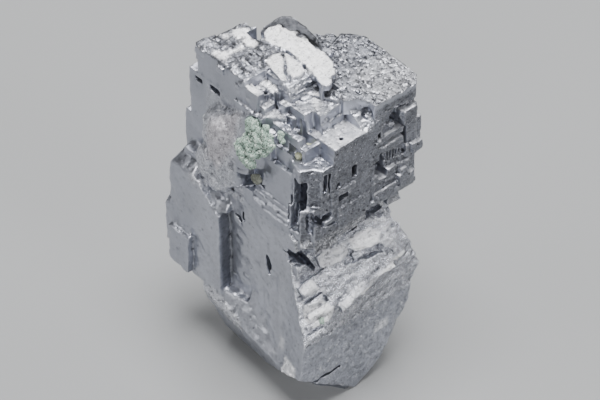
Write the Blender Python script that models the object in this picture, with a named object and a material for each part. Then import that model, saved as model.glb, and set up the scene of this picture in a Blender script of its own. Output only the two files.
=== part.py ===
"""Skeletal galena: intergrown lead-grey cubic crystals with a crust of pale green mineral.

All sizes are millimetres measured from the datum corner, the front bottom
corner of the lower crystal: x runs along its right-hand front face, y along
its left-hand front face, z is up. The last step moves the whole piece so the
middle of its foot is the origin.
"""
import math
import random

import bmesh
import bpy
from mathutils import Euler, Matrix, Vector

MM = 0.001

# Whole piece
FOOT_DEPTH = 2.8          # flat foot, below the datum corner
CENTRE_X = 17.97          # middle of the piece in plan, from the datum corner
CENTRE_Y = 21.13
SEED = 11
PIECE_GAP = 0.3           # clear space between the galena and each other mineral
MOSAIC_TILT = 0.35        # degrees, slight misalignment between growth blocks
FACE_SHIFT = 0.04         # slight offset of every block face
GALENA_NAME = "galena_crystals"
FOOT_NAME = "foot"        # the one plate that is kept dead level

# Lower crystal: cuboids trimmed by broad faces (point on face, outward normal)
LOWER_X = (-0.9, 31.4)
LOWER_Y = (0.0, 39.5)
LOWER_Z = (-FOOT_DEPTH, 42.0)
LEDGED_SLOPE = ((0.5, 0.3, 18.7), (-0.234, -0.812, 0.534))
SHARED_FACES = (
    ((0.0, 5.5, 7.4), (-0.931, 0.07, -0.359)),       # narrow undercut strip, front left
    ((2.9, 5.5, 0.0), (-0.5, 0.037, -0.865)),         # underside, front left
    ((2.7, 0.0, 6.6), (-0.6, -0.28, -0.75)),         # underside of the front corner
    ((31.3, 0.0, 23.5), (0.91, -0.2, 0.36)),        # right shoulder
    ((31.2, 0.0, 26.6), (0.9, 0.0, 0.43)),           # upper part of the right shoulder
    ((31.4, 0.0, 23.0), (0.965, 0.0, -0.26)),        # right side, leaning in below
    ((28.2, 0.0, 12.5), (0.86, -0.12, -0.5)),        # lower right side
    ((21.8, 0.0, 1.1), (0.45, -0.3, -0.84)),         # underside, right
    ((0.8, 31.8, 13.3), (-0.45, 0.85, -0.27)),       # far end, below the left crystal
    ((20.0, 37.5, 6.0), (0.0, 0.8, -0.6)),           # underside, back
    ((20.0, 38.5, 20.0), (0.2, 0.97, -0.12)),        # back face
    ((29.0, 30.0, 20.0), (0.75, 0.65, -0.1)),        # back right corner
)
CORNER_FACES = (
    LEDGED_SLOPE,
    ((0.5, 0.0, 19.0), (-0.972, 0.19, 0.132)),       # steep corner face
)
FLANK_FACES = (
    LEDGED_SLOPE,
    ((0.0, 5.5, 7.4), (-0.875, -0.093, 0.475)),      # broad sloping face, front left
)

# Lower left crystal
LEFT_X = (0.8, 9.0)
LEFT_Y = (26.3, 42.2)
LEFT_Z = (13.0, 47.0)
LEFT_FACES = (
    ((0.8, 36.0, 41.2), (-0.6, 0.12, 0.79)),         # inclined ledge on top
    ((0.8, 40.6, 41.9), (-0.2, 0.8, 0.56)),          # far top corner
    ((0.8, 28.3, 36.4), (-0.25, -0.62, 0.74)),       # near top corner
    ((0.8, 42.2, 18.0), (-0.1, 0.84, -0.53)),        # far bottom corner
    ((0.8, 36.0, 13.5), (-0.35, 0.0, -0.94)),        # underside
)

# Knob that carries the green crust
KNOB_X = (1.6, 12.0)
KNOB_Y = (14.0, 34.6)
KNOB_Z = (40.5, 64.0)
KNOB_FACES = (
    ((1.6, 24.0, 50.5), (-0.97, 0.0, 0.24)),         # upper front leans back
    ((3.0, 24.5, 61.3), (-0.2, 0.42, 0.88)),         # sloping top
    ((4.0, 30.6, 58.2), (-0.35, 0.6, 0.72)),         # far top corner
    ((1.6, 30.2, 50.0), (-0.86, 0.5, 0.0)),          # far front corner
    ((3.2, 20.4, 57.0), (-0.7, -0.7, 0.1)),         # near flank, under the crust
    ((1.6, 25.4, 43.8), (-0.35, -0.55, -0.825)),     # underside
)

# Slope with the round pit, beside the front step
PIT_X = (19.4, 24.5)
PIT_Y = (3.7, 12.0)
PIT_Z = (55.0, 67.2)
PIT_FACES = (((21.0, 3.8, 62.2), (-0.35, -0.55, 0.76)),)
ROUND_PIT = (21.5, 5.4, 64.5)
ROUND_PIT_RADIUS = 1.35

# Bevel between the left crystal and the front plate
BEVEL_X = (0.9, 5.0)
BEVEL_Y = (25.6, 30.9)
BEVEL_Z = (33.0, 40.0)
BEVEL_FACES = (
    ((1.5, 28.2, 37.0), (-0.62, -0.3, 0.72)),
    ((1.2, 27.6, 35.0), (-0.9, -0.43, 0.1)),
)

# Long ledges lying on the sloping face: start, length, width, height above the face
LEDGE_RUN = (0.97, -0.155, 0.19)
LEDGE_SINK = 0.8
LEDGES = (
    ((4.4, 5.5, 28.9), 11.5, 1.5, 0.9),
    ((9.2, 6.0, 32.0), 9.5, 2.6, 0.7),
    ((15.2, 5.6, 33.9), 10.5, 2.0, 0.8),
    ((18.0, 6.2, 36.0), 8.0, 1.2, 0.9),
    ((16.2, 3.4, 31.2), 11.0, 1.3, 0.6),
    ((22.4, 1.8, 30.8), 5.2, 2.2, 0.5),
    ((3.6, 4.5, 27.2), 4.4, 2.0, 1.0),
    ((9.0, 0.9, 24.2), 8.2, 1.5, 0.7),
    ((16.0, 0.5, 25.9), 8.0, 1.3, 0.4),
    ((21.0, 0.6, 28.0), 6.0, 1.4, 0.35),
    ((3.0, 3.3, 25.3), 4.6, 1.0, 0.7),
    ((3.0, 2.2, 23.6), 5.2, 1.3, 1.0),
    ((2.0, 1.2, 21.6), 5.0, 1.1, 0.8),
    ((1.4, 0.4, 19.8), 4.2, 1.0, 0.8),
    ((6.4, 1.5, 24.0), 3.6, 1.2, 1.0),
)

# Growth blocks: name, x range, y range, z range
BLOCKS = (
    # upper crystal, left face and its steps
    ("left_plate", (6.0, 17.5), (23.9, 38.2), (40.0, 69.7)),
    ("left_plate_far_edge", (6.0, 15.0), (30.0, 40.7), (38.0, 63.2)),
    ("left_plate_far_foot", (6.0, 14.0), (30.0, 42.4), (37.0, 51.4)),
    ("far_corner_knob", (6.3, 9.2), (36.2, 38.9), (66.0, 70.3)),
    ("wall_below_steps", (6.4, 14.0), (17.8, 26.0), (50.0, 62.6)),
    ("sloping_sill", (5.3, 9.0), (18.2, 26.4), (60.5, 64.0)),
    ("sill_rise", (6.6, 9.6), (18.6, 25.4), (60.5, 65.6)),
    ("flush_step", (6.0, 7.9), (20.0, 24.3), (60.0, 68.2)),
    ("second_step", (7.6, 10.4), (20.4, 26.4), (60.0, 67.0)),
    ("third_step", (9.8, 12.4), (19.2, 24.7), (60.0, 67.3)),
    ("fourth_step", (13.0, 16.5), (26.6, 31.6), (60.0, 67.7)),
    ("pit_step_1", (8.0, 10.2), (19.0, 21.4), (60.0, 65.2)),
    ("pit_step_2", (7.5, 9.6), (17.7, 19.9), (60.0, 64.1)),
    ("pit_step_3", (9.7, 11.4), (16.2, 18.0), (60.0, 66.2)),
    # crown
    ("crown_left", (11.6, 18.6), (17.2, 26.4), (60.0, 69.2)),
    ("crown_far", (15.2, 22.0), (25.0, 31.8), (60.0, 69.3)),
    ("crown_lamina_1", (11.4, 17.4), (16.8, 20.0), (60.0, 68.7)),
    ("crown_lamina_2", (11.1, 17.9), (16.4, 20.0), (60.0, 68.1)),
    ("crown_lamina_3", (11.3, 17.2), (16.0, 20.0), (60.0, 67.3)),
    ("crown_shelf", (13.6, 18.8), (14.8, 18.0), (60.0, 66.6)),
    # steps down to the front
    ("right_step", (10.9, 20.0), (9.8, 17.5), (58.0, 66.0)),
    ("right_step_ledge", (13.4, 20.8), (9.4, 12.0), (58.0, 63.6)),
    ("front_step", (11.4, 20.9), (3.6, 11.0), (50.0, 61.9)),
    ("middle_bar", (7.4, 9.2), (9.4, 18.8), (44.0, 63.0)),
    ("middle_core", (9.0, 14.0), (12.6, 19.0), (44.0, 61.4)),
    ("sill_floor", (6.8, 13.0), (8.8, 13.4), (50.0, 57.9)),
    ("middle_low", (5.5, 12.0), (9.9, 21.5), (40.0, 55.2)),
    ("middle_shoulder", (6.4, 12.0), (10.2, 20.5), (50.0, 59.0)),
    ("crust_seat", (4.9, 9.0), (15.0, 20.5), (55.5, 61.4)),
    # front wall, left end
    ("wall_left_ledge", (4.0, 9.0), (6.7, 9.6), (37.2, 40.4)),
    ("wall_left_cube", (4.2, 7.8), (6.2, 9.6), (28.5, 33.3)),
    ("wall_bright_panel", (6.4, 12.2), (3.7, 9.0), (37.0, 44.6)),
    # front wall, middle and right
    ("wall_middle", (11.2, 23.5), (3.6, 12.0), (38.6, 60.0)),
    ("wall_low_panel", (12.4, 20.8), (3.2, 8.0), (38.9, 46.2)),
    ("wall_cross_ledge", (12.3, 16.8), (3.1, 8.0), (49.8, 51.3)),
    ("wall_core", (20.0, 33.6), (6.4, 14.0), (38.9, 64.0)),
    ("wall_low_right", (20.0, 31.6), (3.6, 12.0), (41.0, 48.4)),
    ("wall_low_ledge", (21.6, 28.6), (3.1, 9.0), (39.2, 44.4)),
    ("wall_mid_ledge", (21.4, 28.0), (3.2, 9.0), (47.0, 48.9)),
    ("wall_edge_foot", (28.2, 33.4), (3.7, 12.0), (40.8, 44.6)),
    ("wall_rough_panel", (25.4, 30.4), (4.2, 9.0), (44.0, 53.0)),
    ("slab_root", (22.6, 33.6), (4.9, 12.0), (60.0, 65.0)),
    ("pit_block", (21.0, 24.2), (3.6, 10.0), (54.0, 62.0)),
    ("bar_top", (28.6, 33.0), (3.4, 9.0), (60.1, 62.4)),
    ("bar_top_back", (29.8, 33.4), (4.4, 9.0), (61.8, 63.4)),
    ("bar_middle", (23.0, 29.9), (3.6, 9.0), (56.3, 57.7)),
    ("bar_middle_upper", (24.2, 28.0), (4.6, 9.0), (57.4, 59.7)),
    ("bar_low", (24.2, 29.9), (3.5, 9.0), (53.6, 55.3)),
    ("bar_low_under", (24.6, 29.4), (4.4, 9.0), (49.4, 54.2)),
    ("right_post", (30.8, 33.5), (3.6, 10.0), (49.0, 61.0)),
    ("right_post_bulge", (31.6, 35.4), (4.4, 10.0), (50.4, 57.0)),
    ("right_post_shelf", (29.9, 33.2), (3.2, 10.0), (51.0, 52.6)),
    ("right_post_low", (29.4, 33.6), (4.0, 12.0), (44.0, 49.8)),
    ("right_post_foot", (29.0, 32.8), (3.4, 12.0), (43.6, 44.9)),
    # broad front plate and its ledges
    ("front_plate", (4.0, 12.0), (8.2, 28.6), (17.0, 40.6)),
    ("front_plate_top", (4.0, 12.0), (9.0, 25.4), (38.0, 42.6)),
    ("front_plate_tongue", (4.0, 12.0), (19.8, 25.0), (40.0, 44.8)),
    ("front_plate_ledge_1", (4.4, 12.0), (9.6, 20.4), (40.0, 43.5)),
    ("front_plate_ledge_2", (4.8, 12.0), (10.2, 20.2), (40.0, 44.5)),
    ("front_plate_ledge_3", (5.2, 12.0), (10.4, 20.0), (40.0, 45.6)),
    ("front_plate_inner", (4.0, 12.0), (27.0, 31.0), (17.0, 38.5)),
    # lower left crystal
    ("left_crystal_proud_part", (-0.8, 3.0), (35.0, 41.2), (14.8, 24.5)),
    ("left_crystal_edge_bump", (0.6, 5.0), (40.0, 43.7), (18.0, 28.6)),
    ("left_crystal_core", (3.5, 16.0), (27.0, 40.0), (16.0, 44.0)),
    ("lower_back", (10.0, 29.0), (6.0, 36.5), (8.0, 41.0)),
)

# Stepped growth on the right and back sides: blocks sit on the side and stand out a little.
# Name, faces along x, range across, range up, position of the side, blocks, slots
SIDES = (
    ("right", True, (8.0, 22.6), (35.0, 62.0), 34.6, 16, 8),
    ("back", False, (16.0, 28.5), (31.0, 61.0), 35.2, 16, 7),
    ("lower_right", True, (7.0, 29.0), (13.0, 27.0), 30.8, 9, 0),
    ("lower_back", False, (12.0, 27.0), (12.0, 34.0), 38.6, 9, 0),
)
SIDE_STEP = (0.3, 2.2)
SIDE_SIZE = (3.0, 9.5)
SLOT_SIZE = (0.8, 2.6)
SLOT_DEPTH = 3.0

# Small plates that roughen the bright tops: middle, half spread, top height, count
ROUGH_TOPS = (
    ((12.0, 33.2), (5.2, 4.2), 70.2, 26),
    ((10.2, 28.4), (2.4, 1.6), 69.9, 7),
    ((14.6, 22.0), (2.2, 3.4), 69.5, 6),
    ((21.4, 26.0), (1.8, 6.0), 69.7, 6),
)
ROUGH_SIZE = (0.9, 3.2)
ROUGH_DROP = 0.55
ROUGH_TILT = 5.0

# Plates of irregular outline: name, (bottom, top), outline (x, y)
PLATES = (
    ("upper_core", (33.0, 61.5), ((7.6, 8.0), (33.0, 8.0), (34.8, 12.0), (34.8, 23.0), (31.8, 23.4),
                                  (31.6, 28.6), (28.4, 28.9), (28.1, 34.6), (20.2, 35.0), (20.0, 37.6),
                                  (7.6, 39.0))),
    ("upper_core_top", (60.0, 66.8), ((7.6, 25.0), (14.0, 18.0), (18.0, 10.0), (24.0, 8.0), (33.8, 8.0),
                                      (34.2, 21.0), (30.4, 25.6), (26.6, 31.0), (25.0, 33.4), (18.0, 33.4),
                                      (13.0, 36.4), (7.6, 37.4))),
    ("crown_plate", (60.0, 69.5), ((16.0, 32.1), (19.3, 33.9), (23.6, 33.6), (24.6, 30.4), (24.0, 19.4),
                                   (21.6, 15.2), (19.3, 13.1), (16.2, 12.7), (17.3, 15.0), (17.4, 21.0),
                                   (18.0, 24.8), (17.5, 28.6))),
    ("crown_rim", (60.0, 68.6), ((19.0, 33.6), (25.2, 33.6), (26.8, 31.0), (26.5, 25.2), (26.0, 20.0),
                                 (20.0, 20.0))),
    ("slab_top", (63.8, 67.3), ((18.8, 16.5), (18.5, 9.0), (20.6, 7.6), (22.0, 5.6), (21.9, 3.5),
                                (32.9, 3.5), (34.6, 5.3), (35.0, 8.4), (35.2, 20.6), (33.8, 23.2),
                                (32.1, 24.7), (29.8, 23.8), (24.0, 22.0))),
    ("slab_lip", (64.5, 66.8), ((28.0, 26.0), (30.2, 27.1), (31.5, 26.0), (31.0, 23.6), (28.0, 22.6))),
    ("front_ledge", (50.0, 58.0), ((5.0, 6.9), (7.4, 5.9), (8.7, 4.1), (12.5, 3.8), (12.5, 9.6),
                                   (6.3, 10.9))),
    ("left_plate_roof", (66.0, 70.0), ((6.4, 38.1), (9.4, 38.2), (12.2, 37.9), (16.8, 36.3), (18.7, 34.9),
                                       (18.7, 33.2), (14.5, 31.0), (13.0, 29.0), (7.6, 26.6), (6.2, 27.5))),
    ("wall_left_upper", (48.4, 57.2), ((5.4, 9.2), (5.4, 6.9), (8.7, 4.3), (13.0, 4.1), (13.0, 9.2))),
    ("wall_left_lower", (38.4, 48.6), ((4.5, 9.2), (4.5, 5.9), (6.7, 4.3), (13.0, 4.0), (13.0, 9.2))),
    (FOOT_NAME, (-FOOT_DEPTH, 3.0), ((8.6, 6.0), (10.9, 3.4), (12.6, 0.8), (14.6, 0.7), (18.2, 1.8),
                                  (21.5, 2.4), (23.0, 6.0), (22.6, 14.0), (21.5, 28.0), (14.0, 30.0),
                                  (9.0, 28.0), (8.0, 20.0))),
)

# Other minerals: lumps as (middle, radius)
CRUST_OUT = (-0.93, -0.13, 0.34)
CRUST_FLATNESS = 0.68
LUMP_ROUGHNESS = (0.84, 1.08)
MINERALS = {
    "green_crust": (
        ((4.5, 19.7, 62.0), 1.9), ((4.3, 18.5, 61.1), 1.7), ((5.1, 16.7, 62.5), 1.1),
        ((4.8, 15.9, 61.2), 1.5), ((4.0, 17.5, 59.6), 2.1), ((4.4, 15.1, 59.9), 1.6),
        ((3.3, 19.7, 58.4), 2.0), ((2.6, 21.1, 57.1), 1.6), ((2.3, 20.2, 56.3), 1.8),
        ((3.1, 17.8, 57.3), 2.0), ((3.9, 15.9, 58.3), 1.5), ((2.2, 18.0, 54.9), 1.6),
        ((2.1, 19.3, 55.0), 1.4),
    ),
    "green_patch": (((6.6, 13.8, 62.2), 0.9), ((6.4, 13.2, 61.2), 0.8)),
    "olive_grain": (((3.6, 17.9, 49.9), 1.3),),
    "pale_grain_near": (((10.4, 10.0, 58.5), 1.3),),
    "pale_grain_far": (((8.0, 10.2, 58.4), 0.8),),
    "green_speck": (((5.2, 0.1, 22.7), 0.75),),
}

# Hollows: name, x range, y range, z range
HOLLOWS = (
    ("left_plate_slot_far", (5.0, 7.6), (36.7, 38.8), (61.0, 62.1)),
    ("left_plate_slot_near", (5.0, 7.8), (31.3, 34.4), (61.0, 62.4)),
    ("wall_void", (2.0, 9.4), (6.2, 8.9), (42.0, 55.0)),
    ("wall_void_depth", (7.2, 10.6), (8.0, 12.5), (43.2, 53.4)),
    ("wall_void_low", (3.4, 9.2), (4.6, 9.3), (33.5, 37.1)),
    ("wall_slot_tall", (8.9, 9.7), (3.0, 6.6), (52.0, 56.6)),
    ("wall_slot_narrow", (10.1, 10.7), (3.0, 6.4), (51.0, 56.4)),
    ("wall_recess", (5.7, 8.4), (2.5, 6.0), (44.4, 46.9)),
    ("wall_slot_black", (16.1, 17.5), (2.5, 7.0), (52.0, 55.0)),
    ("wall_hole_small", (12.2, 13.0), (2.5, 5.6), (51.6, 53.0)),
    ("wall_ledge_shadow", (12.8, 15.4), (2.5, 4.9), (47.8, 49.6)),
    ("wall_hole_right", (22.2, 25.2), (2.5, 8.5), (48.9, 52.4)),
    ("wall_undercut", (19.6, 25.6), (2.0, 8.4), (37.0, 41.4)),
    ("bar_gap_small", (23.0, 24.0), (2.5, 7.0), (57.7, 59.6)),
    ("bar_gap_lower", (23.2, 24.3), (2.5, 6.6), (55.3, 56.1)),
    ("slab_shadow_slot", (24.6, 28.6), (2.5, 7.2), (62.6, 64.5)),
    ("slab_slot_1", (24.0, 24.9), (2.5, 4.6), (66.0, 66.4)),
    ("slab_slot_2", (28.9, 29.5), (2.5, 4.6), (65.6, 66.2)),
    ("slab_slot_3", (31.0, 31.9), (2.5, 4.6), (66.0, 66.4)),
    ("step_hollow", (10.2, 13.2), (8.9, 11.8), (61.4, 68.0)),
    ("step_hollow_depth", (8.8, 11.4), (10.4, 13.0), (60.8, 64.4)),
    ("bar_end_hollow", (6.6, 10.6), (8.8, 12.2), (58.1, 60.8)),
    ("bar_end_gap", (9.2, 11.4), (8.8, 13.0), (58.1, 63.0)),
    ("crown_hollow", (17.0, 20.4), (12.4, 17.2), (66.1, 68.9)),
    ("crown_notch", (15.8, 18.8), (31.9, 34.6), (67.2, 72.0)),
    ("pit_row_1", (8.7, 9.5), (20.6, 21.9), (62.6, 68.0)),
    ("pit_row_2", (9.9, 10.5), (18.4, 19.9), (62.6, 68.0)),
    ("pit_row_3", (9.4, 10.0), (14.2, 15.9), (62.0, 66.0)),
    ("crust_hollow", (0.0, 6.4), (17.6, 21.8), (46.4, 51.6)),
    ("front_plate_slit", (2.0, 6.0), (14.7, 15.2), (25.4, 30.2)),
    ("front_plate_crack", (2.0, 5.6), (22.0, 22.6), (35.0, 37.9)),
    ("foot_crevice", (2.0, 10.4), (-1.0, 1.8), (6.1, 6.7)),
    ("groove", (-1.0, 4.0), (20.0, 26.6), (15.0, 36.0)),
    ("step_top_pit", (14.4, 15.2), (5.2, 6.0), (60.8, 64.0)),
)


def new_object(name, bm):
    """Turn a bmesh into a linked object."""
    mesh = bpy.data.meshes.new(name)
    bmesh.ops.recalc_face_normals(bm, faces=bm.faces[:])
    if bm.calc_volume(signed=True) < 0.0:
        bmesh.ops.reverse_faces(bm, faces=bm.faces[:])
    bm.to_mesh(mesh)
    bm.free()
    obj = bpy.data.objects.new(name, mesh)
    bpy.context.scene.collection.objects.link(obj)
    return obj


def add_cuboid(bm, low, high):
    """Add a cuboid between two corners, in millimetres."""
    size = [h - l for l, h in zip(low, high)]
    centre = [(h + l) / 2.0 for l, h in zip(low, high)]
    matrix = Matrix.Translation(Vector(centre) * MM) @ Matrix.Diagonal((*[s * MM for s in size], 1.0))
    return bmesh.ops.create_cube(bm, size=1.0, matrix=matrix)["verts"]


def settle(bm, verts, name, tilt=MOSAIC_TILT):
    """Turn and shift a block very slightly about its middle, as mosaic growth does."""
    rng = random.Random(f"{SEED}-{name}")
    middle = sum((v.co for v in verts), Vector()) / len(verts)
    angles = [math.radians(rng.uniform(-tilt, tilt)) for _ in range(3)]
    shift = Vector([rng.uniform(-FACE_SHIFT, FACE_SHIFT) * MM for _ in range(3)])
    turn = Euler(angles).to_matrix()
    for vert in verts:
        vert.co = middle + shift + turn @ (vert.co - middle)


def block(name, xs, ys, zs):
    """One cuboid growth block."""
    bm = bmesh.new()
    verts = add_cuboid(bm, (xs[0], ys[0], zs[0]), (xs[1], ys[1], zs[1]))
    settle(bm, verts, name)
    return new_object(name, bm)


def plate(name, zs, outline):
    """One flat plate of irregular outline."""
    bm = bmesh.new()
    low = [bm.verts.new((x * MM, y * MM, zs[0] * MM)) for x, y in outline]
    face = bm.faces.new(low)
    lift = bmesh.ops.extrude_face_region(bm, geom=[face])["geom"]
    moved = [g for g in lift if isinstance(g, bmesh.types.BMVert)]
    bmesh.ops.translate(bm, verts=moved, vec=(0.0, 0.0, (zs[1] - zs[0]) * MM))
    if name != FOOT_NAME:
        settle(bm, bm.verts[:], name)
    return new_object(name, bm)


def trim(bm, point, normal):
    """Cut away everything outside one face and close the cut."""
    geom = bm.verts[:] + bm.edges[:] + bm.faces[:]
    cut = bmesh.ops.bisect_plane(bm, geom=geom, dist=1e-7, plane_co=Vector(point) * MM,
                                 plane_no=Vector(normal).normalized(), clear_outer=True)
    edges = [g for g in cut["geom_cut"] if isinstance(g, bmesh.types.BMEdge)]
    if edges:
        bmesh.ops.contextual_create(bm, geom=edges)


def faceted(name, xs, ys, zs, faces):
    """A crystal: a cuboid trimmed by flat faces."""
    bm = bmesh.new()
    add_cuboid(bm, (xs[0], ys[0], zs[0]), (xs[1], ys[1], zs[1]))
    for point, normal in faces:
        trim(bm, point, normal)
    return new_object(name, bm)


def group(name, objects):
    """Put helper solids in one hidden collection."""
    coll = bpy.data.collections.new(name)
    bpy.context.scene.collection.children.link(coll)
    for obj in objects:
        bpy.context.scene.collection.objects.unlink(obj)
        coll.objects.link(obj)
        obj.hide_render = True
        obj.display_type = "WIRE"
    return coll


def boolean(obj, coll, operation):
    """Add an exact Boolean with a whole collection."""
    mod = obj.modifiers.new(f"{operation.lower()}_{coll.name}", "BOOLEAN")
    mod.operation = operation
    mod.solver = "EXACT"
    mod.operand_type = "COLLECTION"
    mod.collection = coll


def clear_scene():
    """Start from an empty scene."""
    for obj in list(bpy.data.objects):
        bpy.data.objects.remove(obj, do_unlink=True)


def material(name, color, roughness, metallic):
    """Simple Principled material."""
    mat = bpy.data.materials.new(name)
    mat.use_nodes = True
    bsdf = mat.node_tree.nodes["Principled BSDF"]
    bsdf.inputs["Base Color"].default_value = (*color, 1.0)
    bsdf.inputs["Roughness"].default_value = roughness
    bsdf.inputs["Metallic"].default_value = metallic
    return mat


def place(obj):
    """Move a solid so the middle of the foot is the origin."""
    shift = Vector((-CENTRE_X, -CENTRE_Y, FOOT_DEPTH)) * MM
    obj.data.transform(Matrix.Translation(shift))


def round_pit():
    """The round solution pit beside the front step."""
    bm = bmesh.new()
    matrix = Matrix.Translation(Vector(ROUND_PIT) * MM)
    bmesh.ops.create_uvsphere(bm, u_segments=12, v_segments=8, radius=ROUND_PIT_RADIUS * MM, matrix=matrix)
    return new_object("round_pit", bm)


def slope_ledge(index, start, length, width, height):
    """A long low ledge lying on the sloping face of the lower crystal."""
    along = Vector(LEDGE_RUN).normalized()
    out = Vector(LEDGED_SLOPE[1]).normalized()
    across = out.cross(along)
    middle = Vector(start) + along * (length / 2.0) + out * ((height - LEDGE_SINK) / 2.0)
    frame = Matrix((along, across, out)).transposed().to_4x4()
    size = Matrix.Diagonal((length * MM, width * MM, (height + LEDGE_SINK) * MM, 1.0))
    bm = bmesh.new()
    matrix = Matrix.Translation(middle * MM) @ frame @ size
    verts = bmesh.ops.create_cube(bm, size=1.0, matrix=matrix)["verts"]
    settle(bm, verts, f"ledge_{index}", 4.0)
    return new_object(f"slope_ledge_{index}", bm)


def rough_tops(rng):
    """Small thin plates, each a little turned, over the bright top faces."""
    made = []
    for patch, (middle, spread, top, count) in enumerate(ROUGH_TOPS):
        for number in range(count):
            x = middle[0] + rng.uniform(-spread[0], spread[0])
            y = middle[1] + rng.uniform(-spread[1], spread[1])
            half_x = rng.uniform(*ROUGH_SIZE) / 2.0
            half_y = rng.uniform(*ROUGH_SIZE) / 2.0
            z = top - rng.uniform(0.0, ROUGH_DROP)
            bm = bmesh.new()
            verts = add_cuboid(bm, (x - half_x, y - half_y, z - 1.6), (x + half_x, y + half_y, z))
            name = f"rough_{patch}_{number}"
            settle(bm, verts, name, ROUGH_TILT)
            made.append(new_object(name, bm))
    return made


def side_range(rng, span):
    """A random stretch inside a span."""
    length = rng.uniform(*SIDE_SIZE)
    start = rng.uniform(span[0], max(span[0], span[1] - length))
    return (start, min(start + length, span[1]))


def side_block(name, along_x, depth, wide, high):
    """One block whose depth runs along x or along y."""
    return block(name, depth, wide, high) if along_x else block(name, wide, depth, high)


def side_growth(rng):
    """Blocks standing out from the right and back sides in steps."""
    made = []
    for side, along_x, across, up, base, count, _slots in SIDES:
        for number in range(count):
            depth = (base - 4.0, base + rng.uniform(*SIDE_STEP))
            wide = side_range(rng, across)
            high = side_range(rng, up)
            made.append(side_block(f"{side}_growth_{number}", along_x, depth, wide, high))
    return made


def side_slots(rng):
    """Small rectangular openings sunk into the right and back sides."""
    made = []
    for side, along_x, across, up, base, _blocks, count in SIDES:
        for number in range(count):
            start = rng.uniform(across[0] + 1.0, across[1] - 3.0)
            foot = rng.uniform(up[0] + 6.0, up[1] - 4.0)
            depth = (base - SLOT_DEPTH, base + 6.0)
            wide = (start, start + rng.uniform(*SLOT_SIZE))
            high = (foot, foot + rng.uniform(*SLOT_SIZE))
            made.append(side_block(f"{side}_slot_{number}", along_x, depth, wide, high))
    return made


def crystals():
    """The trimmed crystals and growth blocks that are joined to the lower crystal."""
    rng = random.Random(SEED)
    made = [block(*row) for row in BLOCKS]
    made += [plate(*row) for row in PLATES]
    made += [slope_ledge(index, *row) for index, row in enumerate(LEDGES)]
    made += rough_tops(rng)
    made += side_growth(rng)
    made.append(faceted("lower_flank", LOWER_X, LOWER_Y, LOWER_Z, SHARED_FACES + FLANK_FACES))
    made.append(faceted("left_crystal", LEFT_X, LEFT_Y, LEFT_Z, LEFT_FACES))
    made.append(faceted("crust_knob", KNOB_X, KNOB_Y, KNOB_Z, KNOB_FACES))
    made.append(faceted("pit_slope", PIT_X, PIT_Y, PIT_Z, PIT_FACES))
    made.append(faceted("striated_bevel", BEVEL_X, BEVEL_Y, BEVEL_Z, BEVEL_FACES))
    return made


def openings():
    """Every hollow cut into the crystals."""
    rng = random.Random(SEED + 1)
    made = [block(*row) for row in HOLLOWS]
    made += side_slots(rng)
    made.append(round_pit())
    return made


def lumps(name, row, extra=0.0):
    """Rounded lumps of a crust or grain; extra makes them larger all round."""
    made = []
    for number, (centre, radius) in enumerate(row):
        rng = random.Random(f"{SEED}-{name}-{number}")
        bm = bmesh.new()
        bmesh.ops.create_icosphere(bm, subdivisions=2, radius=1.0)
        out = Vector(CRUST_OUT).normalized()
        turn = out.to_track_quat("Z", "Y").to_matrix().to_4x4()
        spin = Matrix.Rotation(rng.uniform(0.0, math.tau), 4, "Z")
        wide = radius + extra
        thick = radius * CRUST_FLATNESS + extra
        size = Matrix.Diagonal((wide * MM, wide * rng.uniform(0.88, 1.1) * MM, thick * MM, 1.0))
        for vert in bm.verts:
            vert.co *= rng.uniform(*LUMP_ROUGHNESS)
        bm.transform(Matrix.Translation(Vector(centre) * MM) @ turn @ size @ spin)
        made.append(new_object(f"{name}_lump_{number}", bm))
    return made


def mineral(name, row, mat):
    """One separate piece of another mineral, grown from its lumps."""
    parts = lumps(name, row)
    for obj in parts:
        place(obj)
    piece = parts[0]
    piece.name = name
    piece.data.name = name
    if len(parts) > 1:
        boolean(piece, group(f"{name}_growths", parts[1:]), "UNION")
    piece.data.materials.append(mat)
    return piece


def pockets():
    """Room for each other mineral in the galena, a little larger than the mineral."""
    made = []
    for name, row in MINERALS.items():
        made += lumps(name, row, PIECE_GAP)
    for obj in made:
        obj.name = f"pocket_{obj.name}"
    return made


def main():
    """Build the piece."""
    clear_scene()
    galena = material("galena", (0.42, 0.43, 0.47), 0.4, 0.9)
    green = material("green_crust", (0.42, 0.55, 0.43), 0.85, 0.0)
    pale = material("pale_grains", (0.62, 0.65, 0.42), 0.8, 0.0)
    base = faceted(GALENA_NAME, LOWER_X, LOWER_Y, LOWER_Z, SHARED_FACES + CORNER_FACES)
    growths = crystals()
    hollows = openings()
    seats = pockets()
    for obj in [base] + growths + hollows + seats:
        place(obj)
    boolean(base, group("growths", growths), "UNION")
    boolean(base, group("hollows", hollows), "DIFFERENCE")
    boolean(base, group("pockets", seats), "DIFFERENCE")
    base.data.materials.append(galena)
    for name, row in MINERALS.items():
        mineral(name, row, green if name.startswith("green") else pale)


main()
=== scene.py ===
"""The looks of a skeletal galena specimen: intergrown lead-grey crystals with green minerals.

Places are written in crystal millimetres: x runs along the right-hand front faces, y along
the left-hand front faces and z is up, all from the front bottom corner of the lower crystal.
at() turns them into metres in the part's own frame.
"""
import logging
import math
from dataclasses import dataclass
from enum import Enum

import bpy
import numpy as np
from mathutils import Euler, Matrix, Vector
from mathutils.bvhtree import BVHTree


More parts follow.
